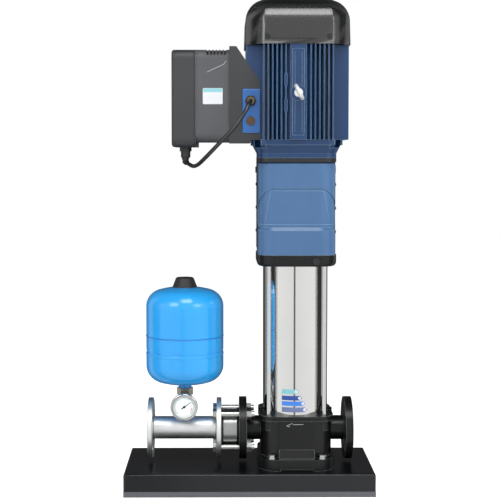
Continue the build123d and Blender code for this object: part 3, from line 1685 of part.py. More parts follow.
with BuildPart() as tank_bladder:
    with BuildSketch(Plane.XY.offset(bladder_rim)):
        with Locations((tank_x, 0)):
            Circle(bladder_radius)
    extrude(amount=-bladder_depth)
    chamfer(tank_bladder.faces().sort_by(Axis.Z)[0].edges(), bladder_round, bladder_reach)
    offset(
        amount=-tank_wall,
        openings=tank_bladder.faces().sort_by(Axis.Z)[-1],
    )
save(tank_bladder, "tank_bladder")

crown_sag = 2.0 - soft_gap
cap_floor = tank_high - crown_sag

with BuildPart() as tank_cap:
    with BuildSketch(tank_section):
        with BuildLine():
            Polyline(
                (cap_radius - cap_wall, cap_floor),
                (cap_radius, cap_floor),
                (cap_top_radius + 1.5, cap_top - 2.0),
                (cap_top_radius - 1.5, cap_top),
                (0, cap_top),
                (0, cap_top - cap_wall),
                (cap_top_radius - cap_wall, cap_top - cap_wall - 2.0),
                close=True,
            )
        make_face()
    revolve(axis=tank_axis)
save(tank_cap, "tank_cap")

with BuildPart() as air_valve:
    with BuildSketch(Plane(origin=(tank_x, 0, tank_high + 1.0))):
        Circle(5.0)
    extrude(amount=13.0)
    chamfer(air_valve.faces().sort_by(Axis.Z)[-1].edges(), 1.0)
save(air_valve, "air_valve")

# ---------------------------------------------------------------------------
# Pressure gauge
# ---------------------------------------------------------------------------

dial_y = gauge_front - 9.0
gauge_wall = 2.0

with BuildPart() as gauge_case:
    with BuildSketch(front(-gauge_back, tank_x, gauge_z)):
        Circle(gauge_radius)
    extrude(amount=gauge_front - gauge_back - 6.0)
    fillet(gauge_case.faces().sort_by(Axis.Y)[-1].edges(), 4.0)
    with BuildSketch(front(-gauge_front + 8.0, tank_x, gauge_z)):
        Circle(bezel_radius)
    extrude(amount=8.0)
    fillet(gauge_case.faces().sort_by(Axis.Y)[0].edges(), 3.0)
    with BuildSketch(front(-gauge_back - gauge_wall, tank_x, gauge_z)):
        Circle(gauge_radius - gauge_wall)
    extrude(amount=gauge_front - gauge_back - gauge_wall - 2.0, mode=Mode.SUBTRACT)
    with BuildSketch(front(-gauge_back, tank_x, gauge_z)):
        Circle(bezel_opening)
    extrude(amount=gauge_front, mode=Mode.SUBTRACT)
    with BuildSketch(front(-gauge_back, tank_x, gauge_z)):
        Circle(gauge_radius - gauge_wall)
    extrude(amount=gauge_wall)
    with BuildSketch(front(-tee_branch_reach, tank_x, gauge_z)):
        RegularPolygon(9.0, 6, major_radius=False)
    extrude(amount=gauge_back - tee_branch_reach)
save(gauge_case, "gauge_case")

with BuildPart() as gauge_dial:
    with BuildSketch(front(-dial_y, tank_x, gauge_z)):
        Circle(gauge_radius - gauge_wall - 0.1)
        Circle(1.5 + running_gap, mode=Mode.SUBTRACT)
    extrude(amount=1.0)
    with BuildSketch(front(-gauge_back - gauge_wall, tank_x, gauge_z)):
        with GridLocations(30.0, 0, 2, 1):
            Rectangle(5.0, 20.0)
    extrude(amount=dial_y - gauge_back - gauge_wall)
save(gauge_dial, "gauge_dial")

with BuildPart() as gauge_glass:
    with BuildSketch(front(-gauge_front + 4.0, tank_x, gauge_z)):
        Circle(gauge_radius - gauge_wall - 0.1)
    extrude(amount=2.0)
save(gauge_glass, "gauge_glass")

pointer_plane = Plane(
    origin=(tank_x, -dial_y - 1.0 - soft_gap, gauge_z),
    x_dir=(cos(radians(pointer_angle)), 0, sin(radians(pointer_angle))),
    z_dir=(0, -1, 0),
)

with BuildPart() as gauge_pointer:
    with BuildSketch(pointer_plane):
        with BuildLine():
            Polyline(
                (-9.0, -1.4),
                (0, -1.2),
                (pointer_length, -0.3),
                (pointer_length, 0.3),
                (0, 1.2),
                (-9.0, 1.4),
                close=True,
            )
        make_face()
        Circle(3.2)
    extrude(amount=0.8)
    with BuildSketch(pointer_plane):
        Circle(1.5)
    extrude(amount=-8.0)
save(gauge_pointer, "gauge_pointer")
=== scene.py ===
"""Looks of an upright multistage pump set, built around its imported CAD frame.

Every node of the frame gets the finish of its real piece. Small forms that the solids
leave out, such as films, marks, weld beads, the cowl's full round and the cable's run,
are sub-assemblies of their own. A pale studio with its camera stands round the set.
"""

import logging
import math
from dataclasses import dataclass, field
from enum import Enum

import bmesh
import bpy
from mathutils import Matrix, Vector

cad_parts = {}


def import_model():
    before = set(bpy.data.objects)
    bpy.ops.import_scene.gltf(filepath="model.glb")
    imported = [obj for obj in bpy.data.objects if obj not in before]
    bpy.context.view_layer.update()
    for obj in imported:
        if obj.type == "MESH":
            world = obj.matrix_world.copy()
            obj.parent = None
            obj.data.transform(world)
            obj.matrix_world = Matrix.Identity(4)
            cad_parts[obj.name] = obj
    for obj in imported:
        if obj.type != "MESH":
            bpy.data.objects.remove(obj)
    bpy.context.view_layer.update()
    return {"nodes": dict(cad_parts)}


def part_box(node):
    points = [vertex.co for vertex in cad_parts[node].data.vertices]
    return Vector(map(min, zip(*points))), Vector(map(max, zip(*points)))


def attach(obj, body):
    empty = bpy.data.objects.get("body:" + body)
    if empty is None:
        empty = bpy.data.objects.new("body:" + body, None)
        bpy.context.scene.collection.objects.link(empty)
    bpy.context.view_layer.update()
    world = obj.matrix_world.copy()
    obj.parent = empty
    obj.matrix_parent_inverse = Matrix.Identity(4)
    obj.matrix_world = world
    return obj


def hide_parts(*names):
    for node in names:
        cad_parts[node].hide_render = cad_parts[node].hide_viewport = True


LOG = logging.getLogger("pump_set")

MM = 0.001
PUMP_AXIS_X = 124.0 * MM
TANK_AXIS_X = -170.5 * MM
SPOOL_AXIS_Z = 150.0 * MM
SET_BODY = "set"
WHITE = "#ffffff"

Rgba = tuple[float, float, float, float]
Point = tuple[float, float]
Place = tuple[float, float, float]


def linear(code: str) -> Rgba:
    """Turn an sRGB hex colour into linear RGBA.

    Args:
        code: colour such as "#2f5f9e".

    Returns:
        Linear red, green, blue and an alpha of 1.
    """
    parts = [int(code[i : i + 2], 16) / 255 for i in (1, 3, 5)]
    red, green, blue = (
        part / 12.92 if part <= 0.04045 else ((part + 0.055) / 1.055) ** 2.4 for part in parts
    )
    return red, green, blue, 1.0


def add_node(
    tree: bpy.types.NodeTree,
    kind: str,
    settings: dict[str | int, object] | None = None,
    links: dict[str | int, bpy.types.NodeSocket] | None = None,
) -> bpy.types.Node:
    """Add one shader node with its settings and its links.

    Args:
        tree: node tree that takes the node.
        kind: node type.
        settings: node attributes or input values, by name or input number.
        links: output sockets to join, by input name or number.

    Returns:
        The new node.
    """
    node = tree.nodes.new(kind)
    for key, value in (settings or {}).items():
        if isinstance(key, str) and hasattr(node, key):
            setattr(node, key, value)
        else:
            node.inputs[key].default_value = value
    for key, source in (links or {}).items():
        tree.links.new(source, node.inputs[key])
    return node


class Surface(Enum):
    """How a surface was made, with the stretch of its grain along X, Y and Z."""

    ORANGE_PEEL = (1.0, 1.0, 1.0)
    SAND_CAST = (0.9, 0.9, 1.1)
    MOULDED = (1.1, 1.0, 0.9)
    DRAWN_UPRIGHT = (1.0, 1.0, 0.03)
    DRAWN_ALONG = (0.03, 1.0, 1.0)
    TURNED = (1.0, 1.0, 0.12)
    STACKED = (0.05, 0.05, 1.0)


@dataclass(frozen=True)
class Finish:
    """One real finish: its colour, sheen and grain.

    Attributes:
        name: what the finish is.
        colour: main colour.
        roughness: mean roughness.
        surface: how it was made.
        grain_mm: size of one grain.
        depth_mm: height of the grain.
        metallic: 1 for bare metal.
        edge: colour of the painted highlight on the thin rim of its sharp edges.
        shift: share by which the colour varies over the piece.
        coat: clear gloss over the colour.
        soften_mm: radius that rounds the shading of its corners.
        specular: strength of the plain surface's reflection.
        rim_mm: width of that painted highlight rim.
    """

    name: str
    colour: str
    roughness: float
    surface: Surface
    grain_mm: float
    depth_mm: float
    metallic: float = 0.0
    edge: str | None = None
    shift: float = 0.12
    coat: float = 0.0
    soften_mm: float = 0.0
    specular: float = 0.5
    rim_mm: float = 0.9


# A finish below with an edge colour gets a painted highlight on the rims of its sharp edges.
# Polish lines, turning marks and the skin of lacquer and film are finer in fact. Where a
# finish below has them, their grain is drawn coarse enough to show.

# Cast iron dipped in black paint: a dull grainy skin, with a painted grey highlight on its corners.
CASTING = Finish(
    "black_coated_iron", "#121314", 0.34, Surface.SAND_CAST, 2.2, 0.07,
    edge="#b3b7bb", coat=0.1, specular=0.3, rim_mm=1.5,
)
# The stool's iron in the same paint: a little lighter and drier, with a faint painted highlight on
# its corners.
STOOL = Finish(
    "black_coated_stool_iron", "#1c1e20", 0.4, Surface.SAND_CAST, 2.0, 0.06, edge="#585b5e"
)
# Folded sheet steel under black powder coat: flat and satin, with a painted pale highlight on its
# bends.
BASE_PAINT = Finish(
    "black_powder_coat", "#0b0d13", 0.34, Surface.ORANGE_PEEL, 1.4, 0.008,
    edge="#8f969e", coat=0.4, specular=0.35, rim_mm=2.4,
)
# Grey paint on the rails below the base: even and matt.
RAIL_PAINT = Finish("grey_rail_paint", "#64656a", 0.5, Surface.ORANGE_PEEL, 1.4, 0.02)
# Cast iron frame under dark blue enamel: deep blue between the fins, with a painted light highlight
# along their edges.
MOTOR_BLUE = Finish(
    "blue_motor_enamel", "#113864", 0.36, Surface.SAND_CAST, 1.6, 0.03,
    edge="#b6dbf3", coat=0.15, rim_mm=1.2,
)
# Brighter enamel on the terminal box: smoother, so that it stands out from the motor, with a painted
# highlight on its edges.
BOX_BLUE = Finish(
    "blue_box_enamel", "#2c66ac", 0.36, Surface.ORANGE_PEEL, 1.5, 0.03, edge="#94c0f3", coat=0.2
)
# Sheet guard in lighter blue paint: even and soft, with a painted pale highlight on its bends.
GUARD_BLUE = Finish(
    "blue_guard_paint", "#486d98", 0.36, Surface.ORANGE_PEEL, 1.3, 0.02,
    edge="#b8def3", coat=0.15, rim_mm=1.3,
)
# Deep-drawn cowl in gloss black enamel: mirrors the lamps, and its bends blur softly.
COWL_BLACK = Finish(
    "black_cowl_enamel", "#151617", 0.28, Surface.ORANGE_PEEL, 4.0, 0.004, coat=1.0, soften_mm=13.0
)
# Enamel sprayed on the pressed tank: bright, glossy and almost even in colour.
TANK_BLUE = Finish(
    "bright_blue_tank_enamel", "#2dabfc", 0.24, Surface.ORANGE_PEEL, 2.4, 0.015, shift=0.06, coat=0.5
)
# Polished stainless tube: a mirror drawn out upright.
SLEEVE = Finish(
    "polished_stainless_sleeve", "#e0e0de", 0.07, Surface.DRAWN_UPRIGHT, 1.2, 0.002,
    metallic=1.0, shift=0.05,
)
# Bright drawn rods: one narrow upright glint each.
STAYBOLT = Finish(
    "bright_staybolt_steel", "#dcdedd", 0.13, Surface.DRAWN_UPRIGHT, 1.0, 0.003,
    metallic=1.0, shift=0.05,
)
# Zinc on the lifting eye: pale zinc, painted nearly white and only half metal as its highlight, so
# that it stays white against the blue.
EYE_ZINC = Finish(
    "zinc_eye_and_painted_highlight", "#f3f3f3", 0.5, Surface.TURNED, 0.9, 0.01, metallic=0.55, edge="#f3f3f3"
)
# Blackened screws: dark heads with a thin painted highlight ring.
SCREW_BLACK = Finish(
    "blackened_screw", "#353637", 0.35, Surface.TURNED, 0.6, 0.008, metallic=0.7, edge="#a4a7a9"
)
# Zinc plate on bolts and nuts: light grey metal with a painted white highlight on its corners.
ZINC = Finish(
    "zinc_plate", "#c6c8c4", 0.26, Surface.TURNED, 0.7, 0.012, metallic=1.0, edge="#f4f5f2"
)
# Pickled stainless pipe: a broad milky shine along it, no sharp mirror.
SPOOL = Finish(
    "pickled_stainless_pipe", "#f0f2f2", 0.44, Surface.DRAWN_ALONG, 1.0, 0.008,
    metallic=1.0, edge="#eef0f0",
)
# Machined stainless of the valve: a tighter and darker shine, with a painted light highlight on its
# corners.
VALVE = Finish(
    "machined_stainless", "#b5b8b8", 0.3, Surface.TURNED, 0.9, 0.01, metallic=1.0, edge="#e6e8e8"
)
# Pressed stainless of the bowls and impellers: plain grey metal.
PRESSED = Finish("pressed_stainless", "#a9adac", 0.3, Surface.TURNED, 1.0, 0.01, metallic=1.0)
# Ground shaft steel: clean, with a narrow shine.
SHAFT = Finish("ground_shaft_steel", "#b4b8b8", 0.22, Surface.TURNED, 0.5, 0.004, metallic=1.0)
# Turned brass, and the bronze of the bush: warm yellow metal.
BRASS = Finish("turned_brass", "#a98f52", 0.3, Surface.TURNED, 0.6, 0.01, metallic=1.0)
# Nickel over brass on the fittings: warm grey with a painted pale highlight on its corners.
NICKEL = Finish(
    "nickel_plated_brass", "#b9b4a6", 0.28, Surface.TURNED, 0.8, 0.015, metallic=1.0, edge="#efece2"
)
# Polished bezel of the gauge: a crisp bright ring.
CHROME = Finish("polished_bezel", "#d4d6d6", 0.12, Surface.TURNED, 0.8, 0.004, metallic=1.0)
# Varnished steel laminations: dull grey in layers of half a millimetre.
LAMINATION = Finish(
    "varnished_laminations", "#7c7e7f", 0.45, Surface.STACKED, 0.5, 0.05, metallic=0.8
)
# Machined grey iron of the coupling: dark dull metal.
COUPLING = Finish("machined_grey_iron", "#686a6d", 0.42, Surface.TURNED, 1.0, 0.03, metallic=0.7)
# Moulded lid of the inverter: dark matt grey with a painted pale highlight round its bends.
COVER_GREY = Finish(
    "grey_inverter_moulding", "#363739", 0.46, Surface.MOULDED, 0.8, 0.03,
    edge="#b3bac0", rim_mm=1.8, soften_mm=14.0,
)
# Cast aluminium body behind it: a shade lighter and rougher, with a painted highlight on its edges.
SINK_GREY = Finish(
    "grey_cast_aluminium", "#525356", 0.5, Surface.SAND_CAST, 1.0, 0.04,
    edge="#8b8d8f", soften_mm=14.0,
)
# Dark cast adapter: flat grey that frames the body, with a painted highlight on its edges.
ADAPTER_GREY = Finish(
    "dark_grey_adapter", "#353637", 0.5, Surface.SAND_CAST, 1.2, 0.04, edge="#727577"
)
# Moulded cap of the tank, and the motor's fan: matt black with a faint grain and a faint painted
# highlight on their edges.
CAP_BLACK = Finish(
    "black_cap_moulding", "#202122", 0.5, Surface.MOULDED, 0.9, 0.04, edge="#515357"
)
# Polyamide of the glands: matt black, with a painted lighter highlight on its rims.
GLAND = Finish("black_polyamide", "#232424", 0.45, Surface.MOULDED, 0.8, 0.03, edge="#515352")
# Moulded blank plug: a flat warm spot on the blue box.
BROWN_PLUG = Finish("brown_blank_plug", "#594536", 0.5, Surface.MOULDED, 0.9, 0.03)
# Rubber of the keys and of the tank's bladder: soft grey without a shine.
KEY_RUBBER = Finish("grey_key_rubber", "#a0a3a6", 0.55, Surface.MOULDED, 0.5, 0.02)
# Pressed fibre of the gaskets and carbon of the seal: dark and dry.
FIBRE = Finish("dark_fibre_gasket", "#32302e", 0.8, Surface.MOULDED, 0.6, 0.05)
# Plastic jacket of the cable: black with one long soft highlight.
CABLE = Finish("black_cable_jacket", "#191a1b", 0.34, Surface.MOULDED, 0.7, 0.02, coat=0.5)
# Smoked window over the display: dark and glossy.
WINDOW = Finish(
    "smoked_display_window", "#13181a", 0.12, Surface.MOULDED, 4.0, 0.004, coat=0.6
)
# Lacquered sheet dial: clean flat white.
DIAL = Finish("white_dial_lacquer", "#eef1f1", 0.5, Surface.ORANGE_PEEL, 0.6, 0.005, shift=0.03)
# Printing inks of the dial: flat black, also on the pointer, and a dull red.
INK = Finish("black_dial_ink", "#141617", 0.55, Surface.ORANGE_PEEL, 0.5, 0.004)
RED_INK = Finish("red_dial_ink", "#bf4b38", 0.55, Surface.ORANGE_PEEL, 0.5, 0.004)
# Pale paint of the raised arrow, and a painted highlight along the inverter's recess edge: a light
# line on black.
PALE_INK = Finish("arrow_paint_and_painted_highlight", "#b9bcbd", 0.4, Surface.ORANGE_PEEL, 0.8, 0.01)
# Dulled brass in the gland's mouth: a dim yellow ring.
BRASS_RING = Finish("gland_brass_ring", "#8b7746", 0.35, Surface.TURNED, 0.5, 0.01, metallic=1.0)
# Printed polyester films, left blank: clean even colours under a thin gloss.
WHITE_FILM = Finish(
    "white_label_film", "#e6e9ec", 0.35, Surface.ORANGE_PEEL, 1.2, 0.004, shift=0.03
)
CYAN_FILM = Finish(
    "pale_cyan_film", "#8fd0d8", 0.35, Surface.ORANGE_PEEL, 1.2, 0.004, shift=0.04
)
NAVY_FILM = Finish(
    "dark_blue_film", "#2f51a3", 0.35, Surface.ORANGE_PEEL, 1.2, 0.004, shift=0.04
)
SKY_FILM = Finish("mid_blue_film", "#4a8cef", 0.35, Surface.ORANGE_PEEL, 1.2, 0.004, shift=0.04)
SLATE_FILM = Finish(
    "slate_blue_film", "#7787b4", 0.35, Surface.ORANGE_PEEL, 1.2, 0.004, shift=0.04
)
# Enamel over the tank's weld: the same blue, painted darker on its bead as shade along the seam.
TANK_SEAM = Finish(
    "blue_enamel_weld_painted_shade", "#2087db", 0.35, Surface.SAND_CAST, 1.8, 0.08, coat=0.3
)
# Weld bead on stainless: rippled metal with a straw tint.
WELD = Finish("tinted_weld_bead", "#a8a294", 0.35, Surface.SAND_CAST, 1.6, 0.12, metallic=1.0)


NODE_FINISHES: dict[Finish, tuple[str, ...]] = {
    CASTING: ("pump_base", "pump_head"),
    STOOL: ("motor_stool", "vent_plug"),
    BASE_PAINT: ("base_pan",),
    RAIL_PAINT: ("base_rails",),
    MOTOR_BLUE: ("motor_frame", "upper_end_shield", "lower_end_shield", "end_shield_bolts"),
    BOX_BLUE: ("terminal_box",),
    GUARD_BLUE: ("guard_front", "guard_rear"),
    COWL_BLACK: ("fan_cover",),
    TANK_BLUE: ("tank_shell",),
    SLEEVE: ("outer_sleeve",),
    STAYBOLT: ("staybolts",),
    ZINC: ("anchor_bolts", "flange_bolts", "coupling_bolts"),
    EYE_ZINC: ("eye_bolt",),
    SCREW_BLACK: ("cover_screws",),
    SPOOL: ("spool_pipe",),
    VALVE: ("check_valve_body", "check_disc"),
    PRESSED: ("stage_bowls", "impellers"),
    SHAFT: ("pump_shaft", "motor_shaft", "motor_bearings"),
    BRASS: ("air_valve", "lower_bush"),
    NICKEL: ("gauge_tee", "tank_union"),
    CHROME: ("gauge_case",),
    LAMINATION: ("stator_core", "rotor_core"),
    COUPLING: ("shaft_coupling",),
    COVER_GREY: ("inverter_cover",),
    SINK_GREY: ("inverter_heatsink",),
    ADAPTER_GREY: ("inverter_bracket",),
    CAP_BLACK: ("tank_cap", "cooling_fan"),
    GLAND: ("terminal_gland", "inverter_gland"),
    BROWN_PLUG: ("blank_plug",),
    KEY_RUBBER: ("keypad_key_1", "keypad_key_2", "keypad_key_3", "keypad_key_4", "tank_bladder"),
    FIBRE: ("sleeve_gaskets", "pipe_gaskets", "seal_ring", "seal_seat"),
    WINDOW: ("display_window",),
    DIAL: ("gauge_dial",),
    INK: ("gauge_pointer",),
    CABLE: ("motor_cable",),
}


@dataclass
class Finisher:
    """Builds each finish once and gives it to pieces.

    Attributes:
        made: materials built so far, by name.
        drift_mm: size of the soft patches in which a colour varies.
        sheen: shares of the mean roughness between which the grain varies it.
        coat_roughness: roughness of the clear gloss.
        rim_turn: how far the rounded normal turns away, from no highlight to full highlight.
        rim_most: greatest share of the painted highlight's colour.
    """

    made: dict[str, bpy.types.Material] = field(default_factory=dict)
    drift_mm: float = 90.9
    sheen: Point = (0.86, 1.16)
    coat_roughness: float = 0.12
    rim_turn: Point = (0.995, 0.86)
    rim_most: float = 0.6

    def apply(self, piece: bpy.types.Object, finish: Finish) -> None:
        """Give a piece one finish on its whole surface."""
        piece.data.materials.clear()
        piece.data.materials.append(self.material(finish))

    def material(self, finish: Finish) -> bpy.types.Material:
        """Return the material of a finish, built when first asked for.

        Args:
            finish: finish to look up.

        Returns:
            Its material.
        """
        if finish.name not in self.made:
            self.made[finish.name] = self._build(finish)
        return self.made[finish.name]

    def _build(self, finish: Finish) -> bpy.types.Material:
        """Lay out the shader of one finish.

        Args:
            finish: finish to build.

        Returns:
            A new material.
        """
        material = bpy.data.materials.new(finish.name)
        material.use_nodes = True
        tree = material.node_tree
        shader = tree.nodes["Principled BSDF"]
        place = add_node(tree, "ShaderNodeTexCoord").outputs["Object"]
        grain_place = add_node(
            tree, "ShaderNodeMapping", {"Scale": finish.surface.value}, {"Vector": place}
        )
        grain = add_node(
            tree,
            "ShaderNodeTexNoise",
            {"Scale": 1 / (finish.grain_mm * MM), "Detail": 3.0, "Roughness": 0.55},
            {"Vector": grain_place.outputs["Vector"]},
        )
        drift = add_node(
            tree,
            "ShaderNodeTexNoise",
            {"Scale": 1 / (self.drift_mm * MM), "Detail": 2.0, "Roughness": 0.5},
            {"Vector": place},
        )
        dark, light = self._spread(finish)
        colour = add_node(
            tree,
            "ShaderNodeMix",
            {"data_type": "RGBA", 6: dark, 7: light},
            {0: drift.outputs["Fac"]},
        ).outputs[2]
        # Paint a light highlight on the sharp edges where the finish has an edge colour.
        if finish.edge:
            colour = self._rim(tree, colour, finish)
        least, most = self.sheen
        sheen = add_node(
            tree,
            "ShaderNodeMapRange",
            {
                "From Min": 0.3,
                "From Max": 0.7,
                "To Min": finish.roughness * least,
                "To Max": min(1.0, finish.roughness * most),
            },
            {"Value": grain.outputs["Fac"]},
        )
        bump = add_node(
            tree,
            "ShaderNodeBump",
            {"Strength": 0.6, "Distance": finish.depth_mm * MM},
            {"Height": grain.outputs["Fac"]},
        )
        if finish.soften_mm:
            round_off = add_node(
                tree, "ShaderNodeBevel", {"samples": 6, "Radius": finish.soften_mm * MM}
            )
            tree.links.new(round_off.outputs["Normal"], bump.inputs["Normal"])
        shader.inputs["Metallic"].default_value = finish.metallic
        shader.inputs["Coat Weight"].default_value = finish.coat
        shader.inputs["Coat Roughness"].default_value = self.coat_roughness
        shader.inputs["Specular IOR Level"].default_value = finish.specular
        tree.links.new(colour, shader.inputs["Base Color"])
        tree.links.new(sheen.outputs["Result"], shader.inputs["Roughness"])
        tree.links.new(bump.outputs["Normal"], shader.inputs["Normal"])
        return material

    @staticmethod
    def _spread(finish: Finish) -> tuple[Rgba, Rgba]:
        """Return the darker and the lighter end of a finish's colour.

        Args:
            finish: finish with its mean colour and shift.

        Returns:
            Two linear colours.
        """
        base = linear(finish.colour)
        dark = tuple(part * (1 - finish.shift) for part in base[:3]) + (1.0,)
        light = tuple(min(1.0, part * (1 + finish.shift)) for part in base[:3]) + (1.0,)
        return dark, light

    def _rim(
        self, tree: bpy.types.NodeTree, colour: bpy.types.NodeSocket, finish: Finish
    ) -> bpy.types.NodeSocket:
        """Paint a light highlight on the sharp edges of a piece.

        Args:
            tree: node tree of the material.
            colour: colour socket of the flat surface.
            finish: finish with its painted highlight's colour and width.

        Returns:
            Colour socket with the painted highlight in it.
        """
        rounded = add_node(tree, "ShaderNodeBevel", {"samples": 4, "Radius": finish.rim_mm * MM})
        true = add_node(tree, "ShaderNodeNewGeometry")
        match = add_node(
            tree,
            "ShaderNodeVectorMath",
            {"operation": "DOT_PRODUCT"},
            {0: rounded.outputs["Normal"], 1: true.outputs["Normal"]},
        )
        start, full = self.rim_turn
        mask = add_node(
            tree,
            "ShaderNodeMapRange",
            {"From Min": start, "From Max": full, "To Min": 0.0, "To Max": self.rim_most},
            {"Value": match.outputs["Value"]},
        )
        return add_node(
            tree,
            "ShaderNodeMix",
            {"data_type": "RGBA", 7: linear(finish.edge)},
            {0: mask.outputs["Result"], 6: colour},
        ).outputs[2]


@dataclass(frozen=True)
class ClearLens:
    """Clear moulded lens of the gauge, lightly scuffed.

    Attributes:
        name: what the finish is.
        tint: colour of the clear plastic.
        ior: bend of light, kept far below the usual 1.5 so that the thin pane doesn't
            shift the dial behind it.
        scuff_mm: size of one scuff.
        roughness: least and most roughness of the scuffed face.
    """

    name: str = "clear_gauge_lens"
    tint: str = "#f7fafa"
    ior: float = 1.05
    scuff_mm: float = 3.846
    roughness: Point = (0.02, 0.09)

    def build(self) -> bpy.types.Material:
        """Lay out the lens's shader.

        Returns:
            A new material.
        """
        material = bpy.data.materials.new(self.name)
        material.use_nodes = True
        tree = material.node_tree
        shader = tree.nodes["Principled BSDF"]
        place = add_node(tree, "ShaderNodeTexCoord").outputs["Object"]
        scuff = add_node(
            tree,
            "ShaderNodeTexNoise",
            {"Scale": 1 / (self.scuff_mm * MM), "Detail": 4.0},
            {"Vector": place},
        )
        least, most = self.roughness
        sheen = add_node(
            tree,
            "ShaderNodeMapRange",
            {"From Min": 0.35, "From Max": 0.75, "To Min": least, "To Max": most},
            {"Value": scuff.outputs["Fac"]},
        )
        shader.inputs["Base Color"].default_value = linear(self.tint)
        shader.inputs["Transmission Weight"].default_value = 1.0
        shader.inputs["IOR"].default_value = self.ior
        tree.links.new(sheen.outputs["Result"], shader.inputs["Roughness"])
        return material


def mesh_piece(name: str, form: bmesh.types.BMesh, smooth: bool = False) -> bpy.types.Object:
    """Turn a bmesh into an object of the scene.

    Args:
        name: name of the piece.
        form: its mesh, freed here.
        smooth: whether faces are shaded smooth.

    Returns:
        The new object.
    """
    bmesh.ops.recalc_face_normals(form, faces=form.faces)
    data = bpy.data.meshes.new(name)
    form.to_mesh(data)
    form.free()
    for face in data.polygons:
        face.use_smooth = smooth
    piece = bpy.data.objects.new(name, data)
    bpy.context.scene.collection.objects.link(piece)
    return piece


def slab(form: bmesh.types.BMesh, outline: list[Vector], out: Vector) -> None:
    """Add a thin closed slab to a mesh.

    Args:
        form: mesh that takes it.
        outline: corners of its lower face, in order.
        out: thickness and direction of the slab.
    """
    low = [form.verts.new(point) for point in outline]
    high = [form.verts.new(point + out) for point in outline]
    form.faces.new(low[::-1])
    form.faces.new(high)
    for index in range(len(low)):
        after = (index + 1) % len(low)
        form.faces.new((low[index], low[after], high[after], high[index]))


def stroke(
    form: bmesh.types.BMesh, ends: tuple[Point, Point], face: float, width: float, proud: float
) -> None:
    """Lay one straight stroke on a face that looks to the front.

    Args:
        form: mesh that takes it.
        ends: both ends of its middle line, across and up in millimetres.
        face: depth of the face that it lies on.
        width: width of the stroke.
        proud: how far it stands out.
    """
    first, last = (Vector((across * MM, face, up * MM)) for across, up in ends)
    side = (last - first).normalized().cross(Vector((0.0, 1.0, 0.0))) * width / 2
    slab(
        form,
        [first - side, last - side, last + side, first + side],
        Vector((0.0, -proud, 0.0)),
    )


def closed_band(form: bmesh.types.BMesh, rows: list[list[Vector]]) -> None:
    """Skin closed rows of points, each joined to the next and the last to the first.

    Args:
        form: mesh that takes the band.
        rows: points of each row, as many in every row.
    """
    rings = [[form.verts.new(point) for point in row] for row in rows]
    for ring, other in zip(rings, rings[1:] + rings[:1]):
        for index in range(len(ring)):
            after = (index + 1) % len(ring)
            form.faces.new((ring[index], ring[after], other[after], other[index]))


def around(steps: int) -> list[float]:
    """Return the angles of one full turn in equal steps."""
    return [math.tau * step / steps for step in range(steps)]


def round_outline(width: float, height: float, corner: float, steps: int = 4) -> list[Point]:
    """Return the outline of a rounded rectangle about the origin.

    Args:
        width: full width.
        height: full height.
        corner: corner radius.
        steps: segments of each corner.

    Returns:
        Points (across, up) in order.
    """
    points = []
    for turn, (sx, sy) in enumerate(((1, 1), (-1, 1), (-1, -1), (1, -1))):
        for step in range(steps + 1):
            angle = math.pi / 2 * (turn + step / steps)
            points.append(
                (
                    sx * (width / 2 - corner) + corner * math.cos(angle),
                    sy * (height / 2 - corner) + corner * math.sin(angle),
                )
            )
    return points


@dataclass
class SubAssembly:
    """A group of pieces added to the frame, with shared finishes.

    Attributes:
        finisher: gives finishes to the pieces.
        pieces: names of the pieces made so far.
    """

    finisher: Finisher
    pieces: list[str] = field(default_factory=list)

    def seat(self, piece: bpy.types.Object, finish: Finish, slot: str) -> None:
        """Finish a piece and let it ride on the set's fixed body.

        Args:
            piece: new piece, already in place.
            finish: its finish.
            slot: material slot of the record that it belongs to; not used.
        """
        self.finisher.apply(piece, finish)
        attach(piece, SET_BODY)
        self.pieces.append(piece.name)

    def build(self) -> None:
        """Make the pieces."""
        raise NotImplementedError


@dataclass(frozen=True)
class Strip:
    """One coloured strip of the sleeve's film.

    Attributes:
        finish: its colour.
        reach: right end, from the pump axis.
        low: lower edge, from the floor.
        high: upper edge, from the floor.
    """

    finish: Finish
    reach: float
    low: float
    high: float


